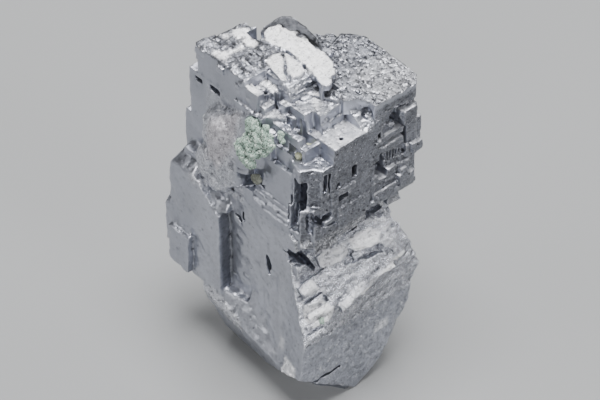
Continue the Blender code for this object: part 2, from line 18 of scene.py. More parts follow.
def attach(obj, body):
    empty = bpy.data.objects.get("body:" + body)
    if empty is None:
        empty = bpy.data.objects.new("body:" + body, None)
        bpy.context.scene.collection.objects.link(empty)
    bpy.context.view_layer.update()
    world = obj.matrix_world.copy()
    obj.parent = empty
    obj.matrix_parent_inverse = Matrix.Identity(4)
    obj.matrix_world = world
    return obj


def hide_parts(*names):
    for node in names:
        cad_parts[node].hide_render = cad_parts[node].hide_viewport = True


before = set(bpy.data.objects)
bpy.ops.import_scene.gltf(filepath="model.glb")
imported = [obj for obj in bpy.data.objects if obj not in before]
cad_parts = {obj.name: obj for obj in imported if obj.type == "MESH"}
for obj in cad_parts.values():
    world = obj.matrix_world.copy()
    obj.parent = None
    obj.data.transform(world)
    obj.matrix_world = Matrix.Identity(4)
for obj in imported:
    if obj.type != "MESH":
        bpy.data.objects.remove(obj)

LOG = logging.getLogger("galena")
MM = 0.001
DATUM = Vector((-17.97, -21.13, 2.8))   # the datum corner, in the part's frame, in millimetres
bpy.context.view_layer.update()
MERGE_GAP = 0.000002                    # metres within which two points of a CAD copy are one
SHELL_FACES = 3                         # the fewest faces that meet at a point of a closed shell
HOLLOW_FROM, PROUD_FROM = 0.2, 0.15     # shares of the full depth below which the skin counts as even
TURN_BLUR, DEPTH_BLUR = 0.15, 0.3       # how gently a zone ends: in the cosine of the skin's way, and in depth
SKEW = (0.31, 0.87, 0.39)               # a way that no patch faces
MATH, SUM = "ShaderNodeMath", "MULTIPLY_ADD"    # a SUM is the first input times the second, plus the third
MIX_UNDER, MIX_OVER, MIX_COLOUR = 6, 7, 2       # a Mix node's colour inputs and its colour output

Triple = tuple[float, float, float]
Spot = tuple[float, float]


def level(z: float, *spots: Spot) -> tuple[Triple, ...]:
    """Corners at one height, from the x and y of each."""
    return tuple((x, y, z) for x, y in spots)


def wall(y: float, *spots: Spot) -> tuple[Triple, ...]:
    """Corners in one plane that faces the front, from the x and z of each."""
    return tuple((x, y, z) for x, z in spots)


def flank(x: float, *spots: Spot) -> tuple[Triple, ...]:
    """Corners in one plane that faces left, from the y and z of each."""
    return tuple((x, y, z) for y, z in spots)


def at(point: Triple) -> Vector:
    """A place in crystal millimetres as metres in the part's frame."""
    return (Vector(point) + DATUM) * MM


def linear(code: str) -> tuple[float, float, float, float]:
    """Turn an sRGB hex colour into linear RGBA.

    Args:
        code: six hex digits, such as "8c8f99".

    Returns:
        The linear red, green, blue and alpha.
    """
    parts = [int(code[i:i + 2], 16) / 255.0 for i in (0, 2, 4)]
    return (*(c / 12.92 if c <= 0.04045 else ((c + 0.055) / 1.055) ** 2.4 for c in parts), 1.0)


def add_node(tree: bpy.types.NodeTree, kind: str, inputs: dict, output: int | str = 0,
             **settings: object) -> bpy.types.NodeSocket:
    """Add one node with its settings, constants and links.

    Args:
        tree: the node tree it goes into.
        kind: the node's type name.
        inputs: input name or index to the socket that feeds it, or to a constant.
        output: name or index of the output that is wanted.
        settings: properties of the node.

    Returns:
        The output's socket.
    """
    node = tree.nodes.new(kind)
    for name, value in settings.items():
        setattr(node, name, value)
    for key, value in inputs.items():
        if isinstance(value, bpy.types.NodeSocket):
            tree.links.new(value, node.inputs[key])
        else:
            node.inputs[key].default_value = value
    return node.outputs[output]


def only(obj: bpy.types.Object) -> None:
    """Make one object the only selected one and the active one."""
    for other in bpy.context.selected_objects:
        other.select_set(False)
    obj.select_set(True)
    bpy.context.view_layer.objects.active = obj


def add_object(name: str, data: bpy.types.ID | None) -> bpy.types.Object:
    """A new object that is linked to the scene."""
    obj = bpy.data.objects.new(name, data)
    bpy.context.scene.collection.objects.link(obj)
    return obj


def apply_modifier(obj: bpy.types.Object, kind: str, **settings: object) -> None:
    """Add a modifier and apply it at once.

    Args:
        obj: the mesh object.
        kind: the modifier's type.
        settings: properties of the modifier.
    """
    modifier = obj.modifiers.new(kind.lower(), kind)
    for name, value in settings.items():
        setattr(modifier, name, value)
    only(obj)
    bpy.ops.object.modifier_apply(modifier=modifier.name)


def merged_copy(node: str, name: str) -> bpy.types.Object:
    """Copy a CAD node and merge its loose triangles into closed shells.

    Args:
        node: the CAD node's name.
        name: the copy's name.

    Returns:
        The copy, an object of its own.
    """
    piece = add_object(name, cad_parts[node].data.copy())
    piece.data.name = name
    piece.data.materials.clear()
    only(piece)
    bpy.ops.object.mode_set(mode="EDIT")
    bpy.ops.mesh.select_all(action="SELECT")
    bpy.ops.mesh.remove_doubles(threshold=MERGE_GAP)
    bpy.ops.object.mode_set(mode="OBJECT")
    return piece


def drop_flaps(piece: bpy.types.Object) -> None:
    """Delete the loose two-sided flaps that decimation leaves: all their points lie on fewer than three faces."""
    only(piece)
    bpy.ops.object.mode_set(mode="EDIT")
    bpy.ops.mesh.select_all(action="DESELECT")
    bpy.ops.object.mode_set(mode="OBJECT")
    corners = np.empty(len(piece.data.loops), np.int32)
    piece.data.loops.foreach_get("vertex_index", corners)
    few = np.bincount(corners, minlength=len(piece.data.vertices)) < SHELL_FACES
    for face in piece.data.polygons:
        if all(few[point] for point in face.vertices):
            for point in face.vertices:
                piece.data.vertices[point].select = True
    bpy.ops.object.mode_set(mode="EDIT")
    bpy.ops.mesh.delete(type="VERT")
    bpy.ops.object.mode_set(mode="OBJECT")


def points_and_normals(piece: bpy.types.Object) -> tuple[np.ndarray, np.ndarray]:
    """The points of a mesh, in crystal millimetres, and the outward normals there."""
    mesh = piece.data
    points, normals = np.empty(len(mesh.vertices) * 3, np.float32), np.empty(len(mesh.vertices) * 3, np.float32)
    mesh.vertices.foreach_get("co", points)
    mesh.vertex_normals.foreach_get("vector", normals)
    return points.reshape(-1, 3) / MM - np.array(DATUM), normals.reshape(-1, 3)


def keep_mark(piece: bpy.types.Object, name: str, amount: np.ndarray) -> None:
    """Store one amount for each point as an attribute of that name."""
    layer = piece.data.attributes.new(name, "FLOAT", "POINT")
    layer.data.foreach_set("value", amount.astype(np.float32))


def soft_step(past: np.ndarray, width: float) -> np.ndarray:
    """Nought to one across a limit, from how far each value is past it and the width of the change."""
    return np.clip(past / width + 0.5, 0.0, 1.0)


def mark_creases_and_edges(piece: bpy.types.Object, full: float) -> None:
    """Store how deep in a crease and how proud the skin is at each point as the attributes hollow and proud; the
    finishes paint shade into the creases from hollow.

    Args:
        piece: the mesh object.
        full: the depth, in millimetres below or above the points around, that counts in full.
    """
    points, normals = points_and_normals(piece)
    ends = np.empty(len(piece.data.edges) * 2, np.int32)
    piece.data.edges.foreach_get("vertices", ends)
    ends = ends.reshape(-1, 2)
    lengths = np.linalg.norm(points[ends[:, 0]] - points[ends[:, 1]], axis=1)
    total, near, reach = np.zeros((len(points), 3)), np.zeros(len(points)), np.zeros(len(points))
    for here, there in ((0, 1), (1, 0)):
        np.add.at(total, ends[:, here], points[ends[:, there]])
        np.add.at(near, ends[:, here], 1.0)
        np.add.at(reach, ends[:, here], lengths)
    near = np.maximum(near, 1.0)
    pull = ((total / near[:, None] - points) * normals).sum(axis=1) / full
    pull *= np.minimum(1.0, (lengths.mean() * near / np.maximum(reach, 1e-6)) ** 1.5)
    # hollow: how deep each point lies in a crease, where the finishes paint shade
    keep_mark(piece, "hollow", np.clip(pull - HOLLOW_FROM, 0.0, 1.0))
    keep_mark(piece, "proud", np.clip(-pull - PROUD_FROM, 0.0, 1.0))


class Pattern(Enum):
    """The kinds of relief that growth and weathering leave."""

    WAVES = "CLOUDS"
    CELLS = "VORONOI"


@dataclass(frozen=True)
class Zone:
    """A stretch of the surface: a box in crystal millimetres and the way its faces look.

    A face still counts where the cosine between its way and the zone's is the least one. The blur is how wide the
    box's soft edge is.
    """

    low: Triple
    high: Triple
    facing: Triple = (0.0, 0.0, 0.0)
    least: float = 0.6
    blur: float = 0.8

    def weights(self, points: np.ndarray, normals: np.ndarray) -> np.ndarray:
        """How far each point belongs to the zone.

        Args:
            points: places in crystal millimetres.
            normals: the outward normals there.

        Returns:
            One weight from 0 to 1 for each point.
        """
        inside = np.ones(len(points))
        for axis in range(3):
            inside *= soft_step(points[:, axis] - self.low[axis], self.blur)
            inside *= soft_step(self.high[axis] - points[:, axis], self.blur)
        way = np.array(self.facing)
        if way.any():
            inside *= soft_step(normals @ (way / np.linalg.norm(way)) - self.least, TURN_BLUR)
        return inside


@dataclass(frozen=True)
class Patch:
    """A stretch of the surface inside an outline of corners, which lie about on one plane.

    The reach is how far from that plane the surface may lie. The least cosine and the blur are as in a zone.
    """

    corners: tuple[Triple, ...]
    facing: Triple = (0.0, 0.0, 1.0)
    reach: float = 1.2
    least: float = 0.6
    blur: float = 0.7

    def weights(self, points: np.ndarray, normals: np.ndarray) -> np.ndarray:
        """How far each point belongs to the patch.

        Args:
            points: places in crystal millimetres.
            normals: the outward normals there.

        Returns:
            One weight from 0 to 1 for each point.
        """
        way = np.array(self.facing) / np.linalg.norm(self.facing)
        side = np.cross(way, SKEW)
        side /= np.linalg.norm(side)
        across = np.stack((side, np.cross(way, side)), axis=1)
        middle = np.mean(self.corners, axis=0)
        flat, edge = (points - middle) @ across, (np.array(self.corners) - middle) @ across
        gap, inside = np.full(len(flat), 1e9), np.zeros(len(flat), bool)
        for first, last in zip(edge, np.roll(edge, -1, axis=0)):
            run = last - first
            share = np.clip(((flat - first) @ run) / (run @ run), 0.0, 1.0)
            gap = np.minimum(gap, np.linalg.norm(flat - first - share[:, None] * run, axis=1))
            over = (flat[:, 1] < first[1]) != (flat[:, 1] < last[1])
            turn = first[0] + (flat[:, 1] - first[1]) * run[0] / (run[1] if run[1] else 1e-9)
            inside ^= over & (flat[:, 0] < turn)
        weight = soft_step(np.where(inside, gap, -gap), self.blur)
        weight *= soft_step(self.reach - np.abs((points - middle) @ way), DEPTH_BLUR)
        return weight * soft_step(normals @ way - self.least, TURN_BLUR)


@dataclass(frozen=True)
class Relief:
    """One layer of wavy relief: the size of its lumps and its height, in millimetres, and its turn in degrees.

    It moves points along their normals, unless it goes all ways, and is calmed in the spare zones. A middle of 1 with
    a ramp leaves the skin as it is and only sinks pits.
    """

    name: str
    size: Triple
    height: float
    zone: Zone | Patch
    turn: Triple = (0.0, 0.0, 0.0)
    all_ways: bool = False
    middle: float = 0.5
    ramp: tuple[float, float] | None = None
    depth: int = 2
    spare: tuple[Zone, ...] = ()


@dataclass(frozen=True)
class Wear:
    """A stretch whose edges are rounded by wear, and how many times the skin there is evened."""

    zone: Zone
    rounds: int


@dataclass(frozen=True)
class Scatter:
    """Small growth blocks, or sunk pits, strewn over one zone. Sizes are millimetres, the tilt is in degrees."""

    name: str
    zone: Zone | Patch
    count: int
    length: tuple[float, float]
    width: tuple[float, float]
    rise: tuple[float, float]
    along: Triple = (1.0, 0.0, 0.0)
    tilt: float = 2.0
    sunk: bool = False


@dataclass(frozen=True)
class Plate:
    """A cleavage plate on the solid, or a sunk cut: its corners, its way out and its rise over each.

    It reaches one root down into the solid. Each edge is broken about every step, by up to the ragged width.
    """

    name: str
    corners: tuple[Triple, ...]
    rise: tuple[float, ...]
    way: Triple = (0.0, 0.0, 1.0)
    root: float = 0.8
    sunk: bool = False
    ragged: float = 0.16
    step: float = 0.9

    def broken(self) -> tuple[list[Vector], list[float]]:
        """The outline and the rise along it, with each edge broken into short uneven steps.

        Returns:
            The corners, in crystal millimetres, and the rise over each.
        """
        rng = np.random.default_rng(len(self.name) + len(self.corners))
        rises = self.rise * len(self.corners) if len(self.rise) == 1 else self.rise
        corners, heights = [], []
        for i, (first, last) in enumerate(zip(self.corners, self.corners[1:] + self.corners[:1])):
            first, last = Vector(first), Vector(last)
            parts = max(1, round((last - first).length / self.step))
            side = (last - first).cross(Vector(self.way)).normalized()
            for part in range(parts):
                share = part / parts
                swing = rng.uniform(-self.ragged, self.ragged) if part else 0.0
                corners.append(first.lerp(last, share) + side * swing)
                heights.append(rises[i] + (rises[(i + 1) % len(rises)] - rises[i]) * share)
        return corners, heights

    def build(self) -> bpy.types.Object:
        """Make the plate as a flat outline that is extruded.

        Returns:
            The plate, a closed solid.
        """
        corners, rises = self.broken()
        count = len(corners)
        out = Vector(self.way).normalized()
        bpy.ops.mesh.primitive_circle_add(vertices=count, radius=MM, fill_type="NGON")
        plate = bpy.context.active_object
        feet = [at(corner) - out * self.root * MM for corner in corners]
        for point, foot in zip(plate.data.vertices, feet):
            point.co = foot
        only(plate)
        bpy.ops.object.mode_set(mode="EDIT")
        bpy.ops.mesh.select_all(action="SELECT")
        bpy.ops.mesh.extrude_region_move(TRANSFORM_OT_translate={"value": out * MM})
        bpy.ops.mesh.select_all(action="SELECT")
        bpy.ops.mesh.normals_make_consistent(inside=False)
        bpy.ops.object.mode_set(mode="OBJECT")
        for point in plate.data.vertices[count:]:
            nearest = min(range(count), key=lambda i: (point.co - out * MM - feet[i]).length)
            point.co = feet[nearest] + out * (self.root + rises[nearest]) * MM
        return plate


@dataclass(frozen=True)
class Lump:
    """A rounded mass that swells out of the solid: its middle and its three radii, in millimetres."""

    middle: Triple
    radii: Triple

    def build(self) -> bpy.types.Object:
        """Make the lump.

        Returns:
            The lump, a closed solid.
        """
        bpy.ops.mesh.primitive_ico_sphere_add(subdivisions=4, radius=1.0)
        lump = bpy.context.active_object
        size = Matrix.Diagonal((*[r * MM for r in self.radii], 1.0))
        lump.data.transform(Matrix.Translation(at(self.middle)) @ size)
        return lump


class Skin(Enum):
    """What a stretch of the surface has more of, each kept as an attribute of that name. The pale bloom also carries
    painted highlight, and the dull tone painted shade.
    """

    # pale colour: partly a whitish bloom, partly painted highlight
    BLOOM = "bloom"
    COARSE = "coarse"
    # darker tone: partly duller skin, partly painted shade
    DULL_AND_SHADE = "dull"
    WARM = "warm"
    STREAKED = "streaked"
    POLISHED = "polished"


UP, LEFT_WAY, FRONT_WAY = (0.0, 0.0, 1.0), (-1.0, 0.0, 0.0), (0.0, -1.0, 0.0)
SLOPE_WAY = (-0.234, -0.812, 0.534)
LEDGE_WAY = (0.97, -0.155, 0.19)

EVERYWHERE = Zone((-9.0, -9.0, -1.6), (60.0, 60.0, 90.0), blur=1.4)
ALL_OVER = Zone((-19.0, -19.0, -19.0), (90.0, 90.0, 90.0))
SLAB_TOP = Zone((18.0, 2.5, 65.5), (36.5, 28.0, 68.6), UP)
STEP_TOPS = Zone((4.0, 2.0, 56.0), (22.0, 20.0, 67.5), UP)
FRONT_WALL = Zone((3.0, 1.0, 37.0), (37.0, 7.5, 66.0), FRONT_WAY)
RIGHT_LEDGES = Zone((22.0, 1.5, 43.0), (36.0, 7.5, 64.0), FRONT_WAY)
KNOB = Zone((0.0, 22.3, 39.5), (6.0, 35.5, 62.5), blur=1.2)
WORN_EDGE = Zone((-2.0, 35.5, 32.0), (2.5, 45.0, 44.0), blur=1.5)
LEFT_FLANK = Zone((-3.0, 36.6, 12.0), (3.4, 47.0, 31.0), blur=1.0)
BAR_FOOT = Zone((-1.0, 18.0, 12.0), (6.0, 26.4, 16.8), blur=1.0)
BAR_EDGE = Zone((1.5, 26.0, 15.8), (4.6, 27.2, 36.5), blur=0.5)
POCKET_RIM = Zone((1.0, 18.5, 43.5), (8.0, 24.5, 52.5), blur=0.8)
SPARKLING = Zone((19.6, -1.5, 9.6), (23.4, 1.5, 12.0), FRONT_WAY, 0.4, 0.5)
FOOT_BITS = Zone((-1.0, 2.0, 5.5), (3.0, 6.4, 11.0), LEFT_WAY, 0.6, 0.6)
PILLAR = Zone((4.0, 1.5, 38.5), (13.5, 9.5, 54.5), blur=1.0)
STAIRS = Zone((4.0, 2.0, 57.0), (23.0, 28.0, 69.2))
RIGHT_FLANK = Zone((27.0, -3.0, 2.0), (48.0, 30.0, 36.0), blur=2.5)
LOWER_HALF = Zone((-9.0, -9.0, 0.0), (60.0, 60.0, 42.0), blur=3.0)
LEDGED_SLOPE = Zone((-1.0, -3.0, 17.5), (34.0, 9.0, 41.0), SLOPE_WAY, 0.55)
SLOPE_INNER = Zone((2.0, -2.0, 20.0), (27.0, 9.0, 38.0), SLOPE_WAY, 0.6)
LOWER_FRONT = Zone((-2.0, -2.0, -1.5), (33.0, 2.5, 36.0), FRONT_WAY, 0.8)
LEFT_FACES = Zone((-3.0, 7.0, 0.0), (7.0, 47.0, 70.0), LEFT_WAY, 0.75)
TOP_STEPS = Zone((5.0, 9.0, 58.0), (19.0, 39.5, 72.0), UP, 0.3)

WHITE_PLATE = level(69.5, (18.7, 32.4), (20.7, 33.2), (22.2, 32.2), (22.9, 30.9), (23.1, 29.2), (22.9, 26.7),
                    (23.4, 25.0), (23.2, 22.8), (23.5, 20.1), (22.6, 16.5), (20.7, 13.8), (18.9, 13.4), (18.4, 12.2),
                    (16.9, 12.2), (16.6, 13.4), (17.6, 16.8), (17.9, 18.8), (18.2, 20.7), (18.6, 25.3), (17.9, 28.3),
                    (17.5, 30.8))
NEAR_PLATE = level(69.4, (13.2, 25.6), (15.5, 26.3), (17.0, 25.7), (16.0, 23.5), (13.8, 21.1), (12.7, 18.8),
                   (11.7, 19.2), (12.1, 22.0))
MIDDLE_PLATE = level(69.4, (17.5, 25.2), (18.1, 24.8), (17.7, 20.4), (17.2, 18.6), (15.7, 18.2), (13.8, 18.6),
                     (14.4, 20.9), (16.4, 23.2))
GREY_PLATE = level(69.5, (14.8, 31.2), (15.9, 31.0), (17.2, 28.3), (17.0, 26.3), (14.4, 26.6), (13.0, 25.9),
                   (12.7, 28.7))
FAR_RIM = level(69.0, (19.6, 33.9), (20.4, 34.3), (25.0, 34.4), (26.3, 33.1), (26.6, 28.6), (26.0, 25.1),
                (24.2, 22.0), (22.0, 26.0))
HIGH_FACET = ((16.5, 5.0, 34.6), (18.7, 4.8, 35.3), (21.5, 4.1, 35.4), (22.9, 2.9, 34.1), (22.2, 2.0, 32.6),
              (19.1, 2.7, 32.2), (16.6, 3.4, 32.2))
FLAT_FACET = ((8.6, 4.3, 30.1), (13.3, 3.1, 30.4), (22.7, 0.6, 30.6), (22.8, -0.2, 29.5), (18.3, 0.0, 27.8),
              (16.0, 0.1, 26.9), (11.2, 0.8, 25.9), (8.5, 0.8, 24.8), (7.2, 3.2, 27.9))
LOW_FACET = ((9.5, 0.2, 24.2), (12.1, 0.5, 25.9), (16.4, 0.0, 27.0), (16.0, -0.8, 25.5), (12.8, -0.9, 24.0),
             (9.7, -1.0, 22.5))
SLOPE_EDGE = ((10.9, -0.9, 23.2), (17.2, -1.2, 25.5), (23.5, -1.1, 28.5), (27.2, -1.3, 29.8), (27.4, -2.1, 28.9),
              (22.9, -1.8, 27.0), (18.0, -2.0, 24.7), (12.0, -1.8, 22.4))
HIGH_CRUMBS = ((9.3, 6.4, 33.7), (12.0, 6.0, 34.2), (15.2, 5.2, 34.4), (15.8, 3.7, 32.4), (13.1, 3.8, 31.2),
               (9.0, 4.8, 31.1))
CORNER_FACET = ((3.2, 5.2, 29.1), (6.4, 4.9, 30.0), (7.2, 3.2, 27.9), (4.0, 3.9, 27.5))
CORNER_CRUMBS = ((3.0, 3.2, 25.9), (6.8, 2.3, 26.4), (8.6, 0.0, 23.7), (7.3, -0.6, 22.2), (3.1, 0.3, 21.5),
                 (2.5, 1.8, 23.6))
ROUND_SHOULDER = ((22.4, 4.6, 36.6), (25.5, 3.8, 36.8), (26.4, 0.4, 32.0), (24.7, -0.6, 29.7), (22.2, 1.8, 32.4))

FOOT_WAY = (-0.88, -0.09, 0.48)
FOOT_FACET = flank(1.5, (33.0, 12.0), (29.0, 14.0), (19.6, 10.4), (20.0, 6.6), (27.0, 8.6))

RELIEFS = (
    Relief("broad_waves", (9.0, 9.0, 9.0), 0.32, EVERYWHERE, all_ways=True),
    Relief("flank_swell", (3.4, 3.4, 3.4), 1.7, RIGHT_FLANK, all_ways=True),
    Relief("lower_wander", (2.6, 2.6, 2.6), 0.5, LOWER_HALF, all_ways=True),
    Relief("edge_wander", (1.9, 1.9, 1.9), 0.3, EVERYWHERE, all_ways=True, spare=(STAIRS,)),
    Relief("edge_chips", (0.7, 0.7, 0.7), 0.13, EVERYWHERE, all_ways=True,
           spare=(STAIRS, LEFT_FACES, LEDGED_SLOPE)),
    Relief("slab_pits", (0.75, 0.75, 0.75), 0.26, SLAB_TOP, ramp=(0.31, 0.45), middle=1.0),
    Relief("step_pits", (0.6, 0.6, 0.6), 0.14, STEP_TOPS, ramp=(0.28, 0.4), middle=1.0),
    Relief("wall_pits", (0.7, 0.7, 0.7), 0.26, FRONT_WALL, ramp=(0.22, 0.32), middle=1.0),
    Relief("slope_swell", (3.4, 1.7, 1.5), 1.0, LEDGED_SLOPE, turn=(0.0, -11.0, -9.0)),
    Relief("slope_ledges", (3.0, 1.1, 0.9), 0.45, LEDGED_SLOPE, turn=(0.0, -11.0, -9.0)),
    Relief("pillar_swell", (1.5, 1.5, 1.5), 0.5, PILLAR, all_ways=True),
    Relief("front_dapple", (1.3, 1.3, 1.3), 0.18, LOWER_FRONT, depth=3),
    Relief("knob_dapple", (2.4, 2.4, 2.4), 1.0, KNOB, depth=4),
    Relief("foot_dapple", (1.3, 1.3, 1.3), 0.55, Patch(FOOT_FACET, FOOT_WAY, 3.0, 0.5)),
)

WEARS = (Wear(KNOB, 14), Wear(WORN_EDGE, 60), Wear(LEFT_FLANK, 30), Wear(BAR_FOOT, 30), Wear(LEDGED_SLOPE, 26),
         Wear(PILLAR, 2), Wear(POCKET_RIM, 4), Wear(BAR_EDGE, 8))

PLATES = (
    Plate("white_plate", WHITE_PLATE, (0.4,), root=1.0, ragged=0.34, step=0.7),
    Plate("near_plate", NEAR_PLATE, (0.45, 0.4, 0.35, 0.3, 0.35, 0.35, 0.4, 0.45)),
    Plate("middle_plate", MIDDLE_PLATE, (0.3,)),
    Plate("grey_plate", GREY_PLATE, (0.5, 0.5, 0.1, 0.05, 0.05, 0.1, 0.45)),
    Plate("far_rim", FAR_RIM, (0.5, 0.7, 0.8, 0.7, 0.5, 0.3, 0.1, 0.3), root=2.0),
    Plate("high_facet", HIGH_FACET, (0.3, 0.4, 0.5, 0.8, 1.0, 1.0, 0.7), SLOPE_WAY),
    Plate("flat_facet", FLAT_FACET, (0.45, 0.5, 0.4, 0.35, 0.3, 0.3, 0.35, 0.4, 0.45), SLOPE_WAY),
    Plate("low_facet", LOW_FACET, (0.1, 0.2, 0.3, 0.75, 0.8, 0.6), SLOPE_WAY),
    Plate("corner_facet", CORNER_FACET, (0.3, 0.4, 0.8, 0.7), SLOPE_WAY),
    Plate("round_shoulder", ROUND_SHOULDER, (0.2, 0.1, 0.2, 0.2, 0.6), SLOPE_WAY),
    Plate("upper_crack", level(69.5, (17.5, 28.4), (17.9, 28.3), (18.6, 25.3), (18.2, 20.7), (18.0, 19.0),
                               (17.3, 19.2), (17.8, 20.7), (18.2, 25.2)), (1.0,), root=0.7, sunk=True),
    Plate("near_crack", level(69.5, (17.5, 25.3), (16.4, 23.4), (14.3, 20.9), (13.4, 18.2), (12.9, 18.4),
                              (13.9, 21.1), (16.1, 23.6), (17.1, 25.6)), (1.0,), root=0.6, sunk=True),
    Plate("flank_ramp", flank(1.4, (35.1, 24.2), (41.0, 24.2), (39.6, 28.2), (36.2, 26.6)), (1.5, 1.5, 0.1, 0.1),
          LEFT_WAY),
    Plate("slope_hole", wall(6.3, (4.0, 35.8), (6.1, 36.4), (7.5, 34.4), (8.8, 31.1), (8.6, 30.1), (7.0, 32.3),
                             (5.4, 33.6)), (2.0,), FRONT_WAY, 4.5, True),
    Plate("corner_gap", wall(7.0, (5.5, 47.4), (6.1, 48.4), (7.2, 47.5), (6.9, 44.7), (6.7, 42.0), (5.8, 42.6),
                             (5.5, 44.3)), (2.6,), FRONT_WAY, 3.5, True, 0.05),
    Plate("ledge_high", wall(3.7, (29.0, 62.4), (32.3, 62.4), (32.6, 59.6), (31.0, 58.7), (29.4, 58.3)),
          (0.9, 1.2, 1.0, 1.1, 0.9), FRONT_WAY),
    Plate("ledge_right", wall(3.6, (31.4, 52.6), (34.2, 52.4), (34.3, 50.0), (32.0, 49.8)), (1.0,), FRONT_WAY),
    Plate("ledge_low", wall(3.6, (27.9, 46.2), (32.4, 45.6), (32.2, 42.6), (30.3, 42.2), (28.6, 43.2)),
          (1.2, 1.0, 0.8, 0.9, 1.0), FRONT_WAY),
    Plate("hollow_high", wall(3.8, (27.0, 61.0), (28.3, 61.8), (28.8, 60.2), (28.2, 59.0)), (2.0,), FRONT_WAY, 3.0,
          True, 0.05),
    Plate("hollow_ribs", wall(3.6, (22.9, 49.9), (23.7, 50.2), (25.6, 48.8), (25.0, 47.4), (22.9, 47.6)), (2.0,),
          FRONT_WAY, 3.0, True, 0.05),
    Plate("wall_oval", wall(3.4, (24.6, 64.4), (25.4, 64.7), (26.8, 64.4), (28.1, 63.5), (28.4, 62.5), (27.4, 62.4),
                            (25.7, 63.0)), (1.2,), FRONT_WAY, 2.6, True, 0.05),
    Plate("wall_notch", wall(3.9, (7.8, 44.7), (8.9, 45.6), (11.2, 45.9), (11.0, 44.0), (12.6, 42.6), (10.9, 42.7),
                             (8.6, 43.2)), (2.0,), FRONT_WAY, 3.2, True, 0.05),
    Plate("plate_pit", level(69.5, (18.3, 21.4), (18.3, 19.5), (17.0, 19.4)), (1.0,), root=1.2, sunk=True),
    Plate("face_crack", flank(4.0, (25.4, 35.9), (23.8, 35.6), (22.7, 35.0), (23.1, 33.5), (24.2, 34.6)), (1.0,),
          LEFT_WAY, 1.6, True),
    Plate("face_wedge", flank(4.0, (15.9, 31.0), (14.8, 30.3), (14.0, 29.1), (14.7, 26.7), (15.1, 24.9),
                              (15.4, 27.1)), (1.0,), LEFT_WAY, 1.6, True),
)
GROOVE_COUNT, GROOVE_PITCH, GROOVE_DROP = 8, 0.78, 0.22     # each is one pitch to the right of the last and lower
FIRST_GROOVE = ((24.4, 50.9), (24.84, 50.9), (24.84, 54.2), (24.4, 54.2))
GROOVES = tuple(Plate(f"groove_{n}", wall(4.2, *((x + GROOVE_PITCH * n, z - GROOVE_DROP * n)
                                                 for x, z in FIRST_GROOVE)), (1.7,), FRONT_WAY, 0.9, True, 0.05)
                for n in range(GROOVE_COUNT))
SPECKS = ((2.2, 18.3, 1.2, 0.5), (4.4, 18.8, 0.7, 0.4), (14.2, 19.1, 0.6, 0.6), (27.2, 23.5, 0.7, 0.5),
          (11.2, 16.2, 0.4, 0.4))       # x, z, width and height of each
SPECK_PITS = tuple(Plate(f"speck_{n}", wall(-0.2, (x, z), (x + wide, z - 0.1), (x + wide * 0.8, z + tall),
                                            (x + 0.1, z + tall)), (1.5,), FRONT_WAY, 1.0, True, 0.05)
                   for n, (x, z, wide, tall) in enumerate(SPECKS))
LUMPS = (
    Lump((2.9, 42.6, 27.0), (2.3, 1.9, 3.0)),
    Lump((3.0, 22.5, 47.2), (1.5, 1.3, 2.0)),
    Lump((3.6, 21.6, 50.6), (1.7, 2.2, 1.3)),
    Lump((5.8, 29.0, 54.0), (4.4, 5.7, 5.7)),
    Lump((4.4, 31.4, 45.8), (3.8, 3.5, 5.0)),
    Lump((4.3, 26.6, 48.6), (3.0, 2.9, 3.2)),
    Lump((3.8, 28.6, 42.8), (3.0, 2.9, 2.9)),
)

